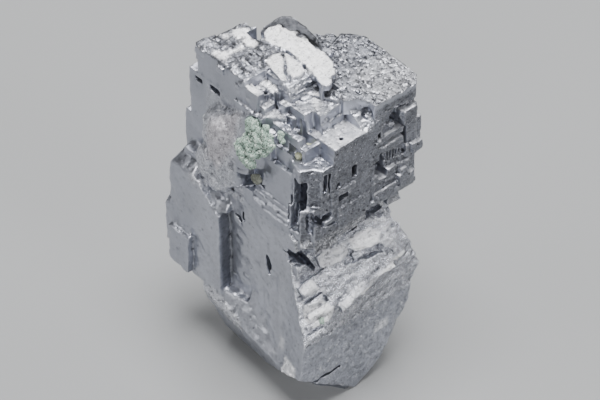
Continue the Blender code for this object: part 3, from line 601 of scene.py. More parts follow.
SCATTERS = (
    Scatter("roof_plates", Zone((5.0, 24.0, 67.0), (16.0, 39.5, 72.0), UP), 60, (0.5, 2.4), (0.4, 1.9),
            (0.05, 0.4), tilt=7.0),
    Scatter("roof_gaps", Zone((6.0, 25.0, 67.0), (16.0, 38.5, 72.0), UP), 14, (0.4, 1.6), (0.2, 0.5), (0.4, 0.9),
            tilt=30.0, sunk=True),
    Scatter("crown_plates", Patch(WHITE_PLATE), 36, (0.6, 2.4), (0.5, 1.7), (0.4, 0.62), tilt=3.0),
    Scatter("rim_crumbs", Zone((18.5, 20.0, 67.0), (28.0, 36.0, 70.0), UP), 40, (0.3, 1.2), (0.3, 1.0),
            (0.03, 0.25), tilt=8.0),
    Scatter("stair_tops", Zone((5.0, 15.5, 60.0), (14.0, 27.0, 68.9), UP), 18, (0.6, 1.8), (0.5, 1.8), (0.1, 0.5),
            tilt=1.0),
    Scatter("stair_left", Zone((5.0, 15.5, 59.0), (14.0, 27.0, 69.0), LEFT_WAY), 14, (0.5, 1.2), (0.4, 1.4),
            (0.1, 0.45), along=UP),
    Scatter("stair_front", Zone((5.0, 9.0, 58.0), (19.0, 27.0, 69.0), FRONT_WAY), 20, (0.5, 1.6), (0.4, 1.2),
            (0.1, 0.45), tilt=1.0),
    Scatter("stair_pits", Zone((5.0, 14.0, 59.0), (14.0, 27.0, 69.0), UP), 16, (0.3, 0.7), (0.3, 0.7), (0.6, 1.6),
            sunk=True),
    Scatter("laminae", Zone((10.5, 15.0, 65.6), (19.0, 19.5, 69.6), FRONT_WAY), 34, (1.2, 4.0), (0.18, 0.35),
            (0.12, 0.5)),
    Scatter("slab_chips", Zone((18.0, 3.0, 65.5), (36.0, 28.0, 69.0), UP), 60, (0.4, 1.3), (0.4, 1.1), (0.02, 0.16),
            tilt=6.0),
    Scatter("slab_edge", Zone((21.0, 1.5, 63.0), (36.0, 5.0, 68.5), FRONT_WAY), 26, (0.4, 1.6), (0.3, 0.8),
            (0.03, 0.25)),
    Scatter("right_blocks", Zone((22.0, 1.5, 55.6), (36.0, 7.5, 64.0), FRONT_WAY), 14, (0.8, 3.0), (0.5, 1.4),
            (0.2, 0.9), tilt=1.0),
    Scatter("low_right_blocks", Zone((22.0, 1.5, 41.5), (36.0, 7.5, 49.0), FRONT_WAY), 14, (0.8, 3.0),
            (0.5, 1.4), (0.2, 0.9), tilt=1.0),
    Scatter("right_pits", RIGHT_LEDGES, 12, (0.4, 1.6), (0.3, 0.8), (1.0, 2.4), sunk=True),
    Scatter("wall_plates", Zone((6.0, 1.5, 38.0), (24.0, 6.0, 48.0), FRONT_WAY), 22, (0.6, 2.8), (0.5, 1.6),
            (0.03, 0.22)),
    Scatter("wall_pits_cut", Zone((8.0, 1.5, 39.0), (24.0, 6.0, 58.0), FRONT_WAY), 9, (0.3, 0.7), (0.3, 0.7),
            (0.5, 1.2), sunk=True),
    Scatter("plate_ledges", Zone((3.0, 8.0, 41.0), (7.0, 21.0, 47.0), LEFT_WAY), 9, (0.2, 0.4), (2.0, 5.5),
            (0.1, 0.4), along=UP),
    Scatter("slope_plates", SLOPE_INNER, 46, (0.8, 4.0), (0.3, 1.0), (0.06, 0.3), along=LEDGE_WAY, tilt=5.0),
    Scatter("slope_grooves", SLOPE_INNER, 12, (0.8, 3.2), (0.2, 0.45), (0.3, 0.7), along=LEDGE_WAY, tilt=6.0,
            sunk=True),
    Scatter("high_crumbs", Patch(HIGH_CRUMBS, SLOPE_WAY, 2.0, 0.4), 44, (0.3, 1.3), (0.3, 0.9), (0.1, 0.5),
            along=LEDGE_WAY, tilt=20.0),
    Scatter("edge_crumbs", Patch(SLOPE_EDGE, SLOPE_WAY, 1.6, 0.2), 80, (0.3, 1.3), (0.25, 0.8), (0.05, 0.4),
            along=LEDGE_WAY, tilt=20.0),
    Scatter("corner_crumbs", Patch(CORNER_CRUMBS, SLOPE_WAY, 2.0, 0.3), 80, (0.4, 1.6), (0.2, 0.7), (0.1, 0.5),
            along=LEDGE_WAY, tilt=16.0),
    Scatter("facet_crumbs", Patch(FLAT_FACET, SLOPE_WAY, 2.0, 0.4), 16, (0.8, 3.4), (0.4, 1.2), (0.35, 0.8),
            along=LEDGE_WAY, tilt=9.0),
    Scatter("front_plates", LOWER_FRONT, 70, (0.8, 2.8), (0.6, 2.0), (0.02, 0.12), tilt=4.0),
    Scatter("sparkling_crumbs", SPARKLING, 14, (0.2, 0.8), (0.2, 0.5), (0.1, 0.3), tilt=35.0),
    Scatter("foot_crumbs", FOOT_BITS, 16, (0.4, 1.2), (0.3, 0.8), (0.1, 0.45), along=UP, tilt=25.0),
    Scatter("underside_plates", Zone((-2.0, 3.0, -2.0), (12.0, 36.0, 20.0), (-0.9, 0.0, -0.3), 0.5), 24,
            (1.0, 4.0), (0.8, 2.4), (0.02, 0.1), along=(0.0, 1.0, 0.0), tilt=4.0),
    Scatter("right_side_plates", Zone((22.0, 4.0, -2.0), (40.0, 34.0, 64.0), (1.0, 0.0, 0.0), 0.5), 110,
            (1.0, 5.0), (1.0, 4.0), (0.05, 0.4), along=UP, tilt=2.0),
    Scatter("back_side_plates", Zone((4.0, 28.0, -2.0), (36.0, 48.0, 66.0), (0.0, 1.0, 0.0), 0.5), 110,
            (1.0, 5.0), (1.0, 4.0), (0.05, 0.4), tilt=2.0),
)

TONES: dict[Skin, tuple[tuple[Zone | Patch, float], ...]] = {
    # pale colour painted on tops, slope facets and sparkling bits: partly the whitish bloom of the top plates, partly
    # painted highlight where the light catches
    Skin.BLOOM: (
        (Patch(WHITE_PLATE, blur=0.4), 1.0),
        (Patch(NEAR_PLATE, blur=0.5), 0.85),
        (Patch(MIDDLE_PLATE, blur=0.5), 0.75),
        (Patch(level(70.0, (14.7, 37.0), (16.5, 36.0), (16.7, 33.6), (15.7, 33.2), (13.5, 34.5), (13.6, 36.0))), 1.6),
        (Patch(level(69.9, (13.7, 33.5), (15.3, 33.0), (15.6, 30.9), (14.0, 30.2), (13.3, 31.8))), 1.6),
        (Patch(level(70.0, (7.1, 34.6), (9.3, 32.9), (8.4, 31.1), (7.0, 31.0), (6.5, 32.8))), 0.9),
        (Patch(level(70.0, (11.9, 37.2), (13.1, 36.8), (12.2, 35.6), (11.4, 36.0))), 1.0),
        (Patch(level(70.0, (9.5, 32.4), (12.4, 31.8), (12.2, 31.2), (9.1, 31.7))), 0.9),
        (Patch(level(67.3, (10.8, 24.2), (12.0, 23.8), (11.9, 20.6), (10.5, 19.7), (10.0, 21.0), (10.0, 23.3)),
               reach=1.0), 0.85),
        (Patch(level(68.3, (6.4, 24.6), (7.7, 24.7), (8.2, 23.6), (7.6, 21.8), (6.5, 19.9), (5.8, 21.9)),
               reach=1.0), 0.85),
        (Patch(level(66.0, (15.9, 14.9), (16.9, 14.4), (15.4, 11.8), (13.5, 11.1), (14.4, 13.4))), 0.6),
        (Zone((6.0, 16.0, 60.0), (13.5, 27.0, 68.9), UP, 0.75), 0.32),
        (Zone((10.5, 2.8, 60.5), (21.0, 11.0, 64.0), UP, 0.8), 0.4),
        (Zone((10.5, 9.0, 64.0), (22.0, 18.5, 67.0), UP, 0.8), 0.12),
        (Zone((24.0, 2.0, 65.8), (37.0, 14.0, 69.0), UP, 0.8, blur=4.0), 0.2),
        (Zone((22.0, 1.5, 43.0), (37.0, 8.0, 64.0), UP, 0.8), 0.35),
        (Patch(HIGH_FACET, SLOPE_WAY, 2.0), 0.7),
        (Patch(((17.7, 3.7, 33.1), (22.8, 2.7, 33.8), (22.1, 2.1, 32.7), (17.8, 3.0, 32.2)), SLOPE_WAY, 2.0,
               blur=1.4), 1.0),
        (Patch(HIGH_CRUMBS, SLOPE_WAY, 2.0, 0.2), 0.5),
        (Patch(LOW_FACET, SLOPE_WAY, 2.0, blur=1.5), 0.45),
        (Patch(SLOPE_EDGE, SLOPE_WAY, 1.8, 0.1), 0.9),
        (Patch(CORNER_FACET, SLOPE_WAY, 2.0, 0.3), 0.6),
        (Patch(CORNER_CRUMBS, SLOPE_WAY, 2.4, 0.1), 0.85),
        (SPARKLING, 0.35),
        (Patch(ROUND_SHOULDER, SLOPE_WAY, 2.0), 0.25),
        (LEDGED_SLOPE, 0.14),
        (FOOT_BITS, 0.6),
        (Patch(FOOT_FACET, FOOT_WAY, 3.0, 0.4), 0.26),
        (Zone((-3.0, 7.5, 8.0), (6.0, 34.0, 40.0), LEFT_WAY, 0.7, 2.5), 0.07),
        (Zone((-1.0, 7.0, 11.5), (4.0, 9.0, 14.8), blur=0.6), 0.35),
        (KNOB, 0.16),
    ),
    Skin.COARSE: (
        (ALL_OVER, 0.14),
        (TOP_STEPS, 1.0),
        (SLAB_TOP, 0.7),
        (FRONT_WALL, 0.6),
        (LEDGED_SLOPE, 0.16),
        (Patch(WHITE_PLATE), 1.0),
        (LOWER_FRONT, 0.9),
        (KNOB, 1.0),
    ),
    # darker tone painted on the front walls, deck, rims, roof and the bar's groove edge: partly dull pitted skin,
    # partly painted shade
    Skin.DULL_AND_SHADE: (
        (BAR_EDGE, 1.2),
        (Zone((5.0, 4.0, 47.6), (9.5, 8.4, 49.8), UP, 0.4), 1.5),
        (FRONT_WALL, 1.4),
        (SLAB_TOP, 1.3),
        (Zone((7.0, -2.0, 14.0), (24.0, 1.0, 25.0), FRONT_WAY, 0.7, 4.0), 0.7),
        (Patch(FAR_RIM, reach=2.0, least=0.2), 2.1),
        (Zone((5.0, 24.0, 66.0), (17.5, 40.0, 72.0), UP, 0.3), 1.3),
        (Zone((5.0, 9.0, 60.0), (21.0, 27.0, 69.0), UP, 0.3), 0.5),
    ),
    Skin.WARM: ((Patch(flank(2.6, (30.8, 57.7), (24.0, 62.0), (23.5, 55.0), (27.1, 47.5), (31.0, 49.0)),
                       LEFT_WAY, 3.0, 0.3, 1.5), 0.55),),
    Skin.STREAKED: ((LEDGED_SLOPE, 0.45),),
    Skin.POLISHED: (
        (Patch(FOOT_FACET, FOOT_WAY, 3.0, 0.4), 1.0),
        (LEDGED_SLOPE, 1.0),
    ),
}


def new_material(name: str) -> tuple[bpy.types.Material, bpy.types.Node]:
    """A new material, with its main shader node."""
    mat = bpy.data.materials.new(name)
    mat.use_nodes = True
    return mat, mat.node_tree.nodes["Principled BSDF"]


def in_millimetres(tree: bpy.types.NodeTree) -> bpy.types.NodeSocket:
    """Object coordinates scaled so that one unit is a millimetre."""
    place = add_node(tree, "ShaderNodeTexCoord", {}, "Object")
    return add_node(tree, "ShaderNodeMapping", {"Vector": place, "Scale": (1.0 / MM,) * 3})


def mottling(tree: bpy.types.NodeTree, mm: bpy.types.NodeSocket, size: float,
             detail: float = 2.0) -> bpy.types.NodeSocket:
    """Uneven patches, from minus a half to a half.

    Args:
        tree: the node tree.
        mm: coordinates in millimetres.
        size: the size of the patches, in millimetres.
        detail: octaves of finer patches.

    Returns:
        The socket that carries them.
    """
    raw = add_node(tree, "ShaderNodeTexNoise", {"Vector": mm, "Scale": 1.0 / size, "Detail": detail}, "Fac")
    return add_node(tree, MATH, {0: raw, 1: 0.5}, operation="SUBTRACT")


def facets(tree: bpy.types.NodeTree, mm: bpy.types.NodeSocket, size: float) -> bpy.types.NodeSocket:
    """Height, in millimetres, of small flat facets, each leaning its own way.

    Args:
        tree: the node tree.
        mm: coordinates in millimetres.
        size: the facets' size in millimetres.

    Returns:
        The height's socket.
    """
    tint = add_node(tree, "ShaderNodeTexVoronoi", {"Vector": mm, "Scale": 1.0 / size}, "Color")
    lean = add_node(tree, "ShaderNodeVectorMath", {0: tint, 1: (0.5, 0.5, 0.5)}, operation="SUBTRACT")
    away = add_node(tree, "ShaderNodeVectorMath", {0: mm, 1: tint.node.outputs["Position"]}, operation="SUBTRACT")
    return add_node(tree, "ShaderNodeVectorMath", {0: lean, 1: away}, "Value", operation="DOT_PRODUCT")


@dataclass(frozen=True)
class Flecks:
    """Small flecks: their size in millimetres, the mottling at which they begin and are full, and their strength."""

    size: float
    limits: tuple[float, float]
    strength: float

    def build(self, tree: bpy.types.NodeTree, mm: bpy.types.NodeSocket,
              strength: bpy.types.NodeSocket | float) -> bpy.types.NodeSocket:
        """Lay the flecks out.

        Args:
            tree: the node tree.
            mm: coordinates in millimetres.
            strength: how much they show, the same all over or a socket.

        Returns:
            The share that they cover.
        """
        spread = add_node(tree, "ShaderNodeMapRange", {"Value": mottling(tree, mm, self.size, 1.0),
                                                       "From Min": self.limits[0], "From Max": self.limits[1]},
                          "Result")
        return add_node(tree, MATH, {0: spread, 1: strength}, operation="MULTIPLY")


@dataclass(frozen=True)
class GalenaFinish:
    """Galena: a soft lead-grey metal sulphide, satin where the cube faces have dulled.

    Patches and facets are millimetres. The smallest are drawn coarser than the real grain, to show at all.
    """

    grey: str = "aaadb7"
    # pale: the whitish bloom's colour, also painted on as highlights, rubbed edges and glints
    pale: str = "fdfdff"
    # dark: the colour of the specks, and of the shade painted into creases
    dark: str = "3a3b43"
    warm: str = "b9aeb0"
    roughness: float = 0.33
    metallic: float = 0.95
    broad_patch: float = 7.0
    patch: float = 1.3
    fine_patch: float = 0.34
    facet_size: float = 0.7
    facet: float = 0.3
    grain: float = 0.09
    scratch: float = 0.35
    scratch_scale: Triple = (0.14, 1.4, 2.4)
    scratch_turn: Triple = (0.0, 0.19, 0.16)
    specks: Flecks = Flecks(0.45, (0.13, 0.2), 0.6)
    # glints: pale flecks painted on pitted skin as sparkle of light
    glints: Flecks = Flecks(0.5, (-0.15, -0.22), 0.7)
    # edge: how much pale colour is painted on proud edges, partly rubbed wear and partly painted highlight
    edge: float = 0.13
    bloom_and_sheen_patch: float = 1.6
    bloom_and_sheen_grain: float = 1.5
    mottle_patch: float = 0.8
    mottle_grain: float = 1.3
    broad_tone: float = 0.45
    # dulling: how much darker the tone is painted, partly dull skin and partly painted shade
    dulling_and_shade: float = -0.4
    warmth: float = 0.8
    wear_and_sheen_metal: float = -0.9
    wear_and_sheen_roughness: float = 0.15
    patch_roughness: float = 0.25
    polish: float = -0.1

    def relief(self, tree: bpy.types.NodeTree, mm: bpy.types.NodeSocket, fine: bpy.types.NodeSocket,
               marks: dict[str, bpy.types.NodeSocket]) -> bpy.types.NodeSocket:
        """Grain, facets on coarse skin and drawn-out scratches on streaked skin.

        Args:
            tree: the node tree.
            mm: coordinates in millimetres.
            fine: the fine patches.
            marks: the skin's qualities.

        Returns:
            The bumped normal.
        """
        height = add_node(tree, MATH, {0: facets(tree, mm, self.facet_size), 1: self.facet}, operation="MULTIPLY")
        height = add_node(tree, MATH, {0: fine, 1: self.grain, 2: height}, operation=SUM)
        drawn = add_node(tree, "ShaderNodeMapping", {"Vector": mm, "Scale": self.scratch_scale,
                                                     "Rotation": self.scratch_turn})
        lines = add_node(tree, "ShaderNodeTexNoise", {"Vector": drawn, "Detail": 2.0}, "Fac")
        height = add_node(tree, MATH, {0: height, 1: marks["coarse"]}, operation="MULTIPLY")
        lines = add_node(tree, MATH, {0: lines, 1: marks["streaked"]}, operation="MULTIPLY")
        height = add_node(tree, MATH, {0: lines, 1: self.scratch, 2: height}, operation=SUM)
        return add_node(tree, "ShaderNodeBump", {"Height": height, "Strength": 1.0, "Distance": MM}, "Normal")

    def build(self) -> bpy.types.Material:
        """Make the material.

        Returns:
            A satin metal with fine grain and small tilted cleavage facets, pale colour painted on tops, slope facets
            and edges as bloom, rubbed wear and painted highlight, painted glints, darker tone that is partly painted
            shade, and painted shade in the creases.
        """
        mat, shader = new_material("satin_galena")
        tree = mat.node_tree
        mm = in_millimetres(tree)
        broad, medium, fine = (mottling(tree, mm, self.broad_patch), mottling(tree, mm, self.patch, 3.0),
                               mottling(tree, mm, self.fine_patch))
        marks = {name: add_node(tree, "ShaderNodeAttribute", {}, "Fac", attribute_name=name)
                 for name in (*(skin.value for skin in Skin), "hollow", "proud")}
        patch = add_node(tree, MATH, {0: medium, 1: self.bloom_and_sheen_patch, 2: 1.0}, operation=SUM)
        patch = add_node(tree, MATH, {0: fine, 1: self.bloom_and_sheen_grain, 2: patch}, operation=SUM)
        # the pale mask: proud edges and the bloom zones, partly rubbed wear and whitish bloom, partly painted
        # highlight
        rubbed_and_lit = add_node(tree, MATH, {0: marks["proud"], 1: self.edge, 2: marks["bloom"]}, operation=SUM)
        rubbed_and_lit = add_node(tree, MATH, {0: rubbed_and_lit, 1: patch}, operation="MULTIPLY")
        wear_and_sheen = add_node(tree, "ShaderNodeMapRange", {"Value": rubbed_and_lit}, "Result")
        mottle = add_node(tree, MATH, {0: medium, 1: self.mottle_patch}, operation="MULTIPLY")
        mottle = add_node(tree, MATH, {0: fine, 1: self.mottle_grain, 2: mottle}, operation=SUM)
        tone = add_node(tree, MATH, {0: broad, 1: self.broad_tone, 2: 1.0}, operation=SUM)
        tone = add_node(tree, MATH, {0: mottle, 1: marks["coarse"], 2: tone}, operation=SUM)
        tone = add_node(tree, MATH, {0: marks["dull"], 1: self.dulling_and_shade, 2: tone}, operation=SUM)
        warm = add_node(tree, MATH, {0: marks["warm"], 1: self.warmth}, operation="MULTIPLY")
        colour = add_node(tree, "ShaderNodeMix", {"Factor": warm, MIX_UNDER: linear(self.grey),
                                                  MIX_OVER: linear(self.warm)}, MIX_COLOUR, data_type="RGBA")
        colour = add_node(tree, "ShaderNodeVectorMath", {0: colour, "Scale": tone}, "Vector", operation="SCALE")
        pitted = add_node(tree, MATH, {0: marks["coarse"], 1: marks["coarse"]}, operation="MULTIPLY")
        specks, glints = (kind.build(tree, mm, add_node(tree, MATH, {0: pitted, 1: kind.strength},
                                                        operation="MULTIPLY")) for kind in (self.specks, self.glints))
        # layered in turn: the pale colour (bloom, rubbed edges and painted highlights), dark specks, painted glints,
        # and painted shade in the creases
        for share, over in ((wear_and_sheen, self.pale), (specks, self.dark), (glints, self.pale),
                            (marks["hollow"], self.dark)):
            colour = add_node(tree, "ShaderNodeMix", {"Factor": share, MIX_UNDER: colour, MIX_OVER: linear(over)},
                              MIX_COLOUR, data_type="RGBA")
        rough = self.roughness
        for part, amount in ((wear_and_sheen, self.wear_and_sheen_roughness), (medium, self.patch_roughness),
                             (marks["polished"], self.polish)):
            rough = add_node(tree, MATH, {0: part, 1: amount, 2: rough}, operation=SUM)
        metal = add_node(tree, MATH, {0: wear_and_sheen, 1: self.wear_and_sheen_metal * self.metallic, 2: self.metallic}, operation=SUM)
        for name, socket in (("Base Color", colour), ("Metallic", metal), ("Roughness", rough),
                             ("Normal", self.relief(tree, mm, fine, marks))):
            tree.links.new(socket, shader.inputs[name])
        return mat


@dataclass
class GalenaCrystals:
    """The intergrown crystals, one piece. Lengths are millimetres and the crease is in degrees.

    A growth block reaches one root down into the solid and its foot is looked at one footing down. A sunk cut starts
    one clearance above the skin.
    """

    name: str = "galena_body"
    cell: float = 0.2
    triangles: int = 190000
    tries: int = 60000
    first_seed: int = 100
    root: float = 1.0
    footing: float = 0.3
    clearance: float = 0.6
    calming: float = 0.75
    steps: int = 10
    crease_depth: float = 0.1
    crease: float = 40.0
    finish: GalenaFinish = GalenaFinish()

    def remesh(self, piece: bpy.types.Object) -> None:
        """Turn the solid into an even, fine skin, rounded in the zones of wear."""
        apply_modifier(piece, "REMESH", mode="VOXEL", voxel_size=self.cell * MM, adaptivity=0.0)
        for wear in WEARS:
            self.mask(piece, "wear_and_sheen", wear.zone)
            apply_modifier(piece, "SMOOTH", factor=0.5, iterations=wear.rounds, vertex_group="wear_and_sheen")
            piece.vertex_groups.clear()

    def landing_places(self, piece: bpy.types.Object, scatter: Scatter, rng: np.random.Generator) -> np.ndarray:
        """Random places on the solid inside a scatter's zone.

        Args:
            piece: the merged solid.
            scatter: the scatter whose zone counts.
            rng: the seeded source of chance.

        Returns:
            The places, in crystal millimetres, one row each.
        """
        mesh = piece.data
        mesh.calc_loop_triangles()
        corners = np.empty(len(mesh.loop_triangles) * 3, np.int32)
        mesh.loop_triangles.foreach_get("vertices", corners)
        tris = points_and_normals(piece)[0][corners.reshape(-1, 3)]
        cross = np.cross(tris[:, 1] - tris[:, 0], tris[:, 2] - tris[:, 0])
        area = np.linalg.norm(cross, axis=1)
        pick = rng.choice(len(tris), size=self.tries, p=area / area.sum())
        u, v = rng.random((2, len(pick), 1))
        u, v = np.where(u + v > 1.0, 1.0 - u, u), np.where(u + v > 1.0, 1.0 - v, v)
        spots = tris[pick, 0] * (1.0 - u - v) + tris[pick, 1] * u + tris[pick, 2] * v
        normals = cross[pick] / np.maximum(area[pick], 1e-9)[:, None]
        return spots[scatter.zone.weights(spots, normals) > 0.5][:scatter.count]

    def rests(self, tree: BVHTree, spot: np.ndarray, turn: Matrix, length: float, width: float) -> bool:
        """Whether all four corners of a block's foot lie in the solid.

        Args:
            tree: the solid's faces.
            spot: the foot's middle, in crystal millimetres.
            turn: how the block is turned.
            length: the foot's length in millimetres.
            width: the foot's width in millimetres.

        Returns:
            True where nothing of the block overhangs.
        """
        for x, y in ((-0.5, -0.5), (-0.5, 0.5), (0.5, -0.5), (0.5, 0.5)):
            corner = at(spot) + turn @ Vector((x * length, y * width, -self.footing)) * MM
            near, normal, _, _ = tree.find_nearest(corner)
            if (corner - near).dot(normal) > 0.0:
                return False
        return True

    def strew(self, piece: bpy.types.Object, tree: BVHTree, scatter: Scatter, seed: int) -> list[bpy.types.Object]:
        """Copies of one block, laid on the solid.

        Args:
            piece: the merged solid.
            tree: the solid's faces.
            scatter: which blocks and where.
            seed: the scatter's own seed.

        Returns:
            The blocks, each an object with its own mesh.
        """
        rng = np.random.default_rng(seed)
        out = Vector(scatter.zone.facing).normalized()
        along = Vector(scatter.along)
        along = (along - out * along.dot(out)).normalized()
        frame_turn = Matrix((along, out.cross(along), out)).transposed()
        bpy.ops.mesh.primitive_cube_add(size=1.0, location=(0.0, 0.0, 0.0))
        first = bpy.context.active_object
        made = []
        for spot in self.landing_places(piece, scatter, rng):
            length, width, rise = (rng.uniform(*r) for r in (scatter.length, scatter.width, scatter.rise))
            inner, outer = (rise, self.clearance) if scatter.sunk else (self.root, rise)
            lean = Euler([math.radians(rng.uniform(-scatter.tilt, scatter.tilt)) for _ in range(3)]).to_matrix()
            if not scatter.sunk and not self.rests(tree, spot, frame_turn @ lean, length, width):
                continue
            middle = at(spot) + out * ((outer - inner) / 2.0 * MM)
            size = Matrix.Diagonal((length * MM, width * MM, (inner + outer) * MM, 1.0))
            block = add_object(f"{scatter.name}_block", first.data.copy())
            block.data.transform(Matrix.Translation(middle) @ (frame_turn @ lean).to_4x4() @ size)
            made.append(block)
        bpy.data.objects.remove(first)
        return made

    def grow(self, piece: bpy.types.Object) -> None:
        """Sink the cracks and small pits, and join the plates, lumps and growth blocks to the solid."""
        pits = [plate.build() for plate in PLATES + GROOVES + SPECK_PITS if plate.sunk]
        blocks = [plate.build() for plate in PLATES if not plate.sunk] + [lump.build() for lump in LUMPS]
        tree = BVHTree.FromPolygons([point.co for point in piece.data.vertices],
                                    [face.vertices for face in piece.data.polygons])
        for number, scatter in enumerate(SCATTERS):
            (pits if scatter.sunk else blocks).extend(self.strew(piece, tree, scatter, self.first_seed + number))
        holder = bpy.data.collections.new("small_pits")
        bpy.context.scene.collection.children.link(holder)
        for pit in pits:
            for shelf in pit.users_collection:
                shelf.objects.unlink(pit)
            holder.objects.link(pit)
        apply_modifier(piece, "BOOLEAN", operation="DIFFERENCE", operand_type="COLLECTION", collection=holder,
                       solver="EXACT")
        for pit in pits:
            bpy.data.objects.remove(pit)
        bpy.data.collections.remove(holder)
        only(piece)
        for block in blocks:
            block.select_set(True)
        bpy.ops.object.join()

    def mask(self, piece: bpy.types.Object, name: str, zone: Zone | Patch, spare: tuple[Zone, ...] = ()) -> None:
        """Store how far each point lies in a zone as a vertex group.

        Args:
            piece: the crystals' object.
            name: the group's name.
            zone: the zone that is measured.
            spare: zones where the weight is cut down.
        """
        points, normals = points_and_normals(piece)
        weights = zone.weights(points, normals)
        for calm in spare:
            weights *= 1.0 - self.calming * calm.weights(points, normals)
        group = piece.vertex_groups.new(name=name)
        shares = np.round(weights * self.steps).astype(int)
        for step in range(1, self.steps + 1):
            group.add(np.nonzero(shares == step)[0].tolist(), step / self.steps, "REPLACE")

    def weather(self, piece: bpy.types.Object, relief: Relief) -> None:
        """Press one layer of relief into the skin.

        Args:
            piece: the crystals' object.
            relief: the layer.
        """
        self.mask(piece, relief.name, relief.zone, relief.spare)
        texture = bpy.data.textures.new(relief.name, Pattern.WAVES.value)
        texture.noise_scale = 1.0
        texture.noise_depth = relief.depth
        if relief.all_ways:
            texture.cloud_type = "COLOR"
        if relief.ramp:
            texture.use_color_ramp = True
            stops = texture.color_ramp.elements
            stops[0].position, stops[1].position = relief.ramp
            stops[0].color, stops[1].color = (0.0, 0.0, 0.0, 1.0), (1.0, 1.0, 1.0, 1.0)
        guide = add_object(f"{relief.name}_guide", None)
        turn = Euler([math.radians(a) for a in relief.turn]).to_matrix().to_4x4()
        guide.matrix_world = turn @ Matrix.Diagonal((*[s * MM for s in relief.size], 1.0))
        bpy.context.view_layer.update()
        apply_modifier(piece, "DISPLACE", texture=texture, texture_coords="OBJECT", texture_coords_object=guide,
                       direction="RGB_TO_XYZ" if relief.all_ways else "NORMAL", strength=relief.height * MM,
                       mid_level=relief.middle, vertex_group=relief.name)
        bpy.data.objects.remove(guide)
        bpy.data.textures.remove(texture)
        piece.vertex_groups.clear()

    def mark(self, piece: bpy.types.Object) -> None:
        """Store the qualities of the skin, and how deep it lies in creases for the shade painted there, as attributes
        for the finish.
        """
        points, normals = points_and_normals(piece)
        for skin, tones in TONES.items():
            amount = np.zeros(len(points))
            for zone, share in tones:
                amount = np.maximum(amount, zone.weights(points, normals) * share)
            keep_mark(piece, skin.value, amount)
        mark_creases_and_edges(piece, self.crease_depth)

    def build(self) -> bpy.types.Object:
        """Make the crystals.

        Returns:
            The finished piece, which stands for the CAD node.
        """
        piece = merged_copy("galena_crystals", self.name)
        self.grow(piece)
        LOG.info("blocks are joined")
        self.remesh(piece)
        LOG.info("remeshed to %d points", len(piece.data.vertices))
        for relief in RELIEFS:
            self.weather(piece, relief)
        faces = sum(len(face.vertices) - 2 for face in piece.data.polygons)
        LOG.info("weathered")
        apply_modifier(piece, "DECIMATE", ratio=min(1.0, self.triangles / faces))
        for point in piece.data.vertices:
            point.co.z = max(point.co.z, 0.0)
        self.mark(piece)
        self.dress(piece)
        return piece

    def dress(self, piece: bpy.types.Object) -> None:
        """Give the crystals their finish and tie them to the frame."""
        only(piece)
        bpy.ops.object.shade_smooth_by_angle(angle=math.radians(self.crease))
        piece.data.materials.append(self.finish.build())
        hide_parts("galena_crystals")
        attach(piece, "root")


@dataclass(frozen=True)
class CrustFinish:
    """A matt, finely granular secondary mineral: its colours, and its patches and grain in millimetres."""

    name: str
    main: str
    light: str
    # dark: the colour of the specks, and of the shade painted into the crust's creases
    dark: str
    patch: float = 0.9
    grain: float = 0.3
    bump: float = 0.08
    roughness: float = 0.85
    light_grain: float = 1.5
    light_limits: tuple[float, float] = (-0.05, 0.45)
    specks: Flecks = Flecks(0.4, (0.1, 0.2), 0.5)

    def build(self) -> bpy.types.Material:
        """Make the material.

        Returns:
            A matt crust with mealy colour and grain, and painted shade in its creases.
        """
        mat, shader = new_material(self.name)
        tree = mat.node_tree
        mm = in_millimetres(tree)
        medium, fine = mottling(tree, mm, self.patch, 3.0), mottling(tree, mm, self.grain)
        # painted shade: the crust turns towards dark in its creases
        hollow = add_node(tree, "ShaderNodeAttribute", {}, "Fac", attribute_name="hollow")
        patch = add_node(tree, MATH, {0: fine, 1: self.light_grain, 2: medium}, operation=SUM)
        light = add_node(tree, "ShaderNodeMapRange", {"Value": patch, "From Min": self.light_limits[0],
                                                      "From Max": self.light_limits[1]}, "Result",
                         interpolation_type="SMOOTHSTEP")
        specks = self.specks.build(tree, mm, self.specks.strength)
        colour = linear(self.main)
        for share, over in ((light, self.light), (specks, self.dark), (hollow, self.dark)):
            colour = add_node(tree, "ShaderNodeMix", {"Factor": share, MIX_UNDER: colour, MIX_OVER: linear(over)},
                              MIX_COLOUR, data_type="RGBA")
        tree.links.new(colour, shader.inputs["Base Color"])
        shader.inputs["Roughness"].default_value = self.roughness
        bump = add_node(tree, "ShaderNodeBump", {"Height": fine, "Strength": 1.0, "Distance": self.bump * MM},
                        "Normal")
        tree.links.new(bump, shader.inputs["Normal"])
        return mat


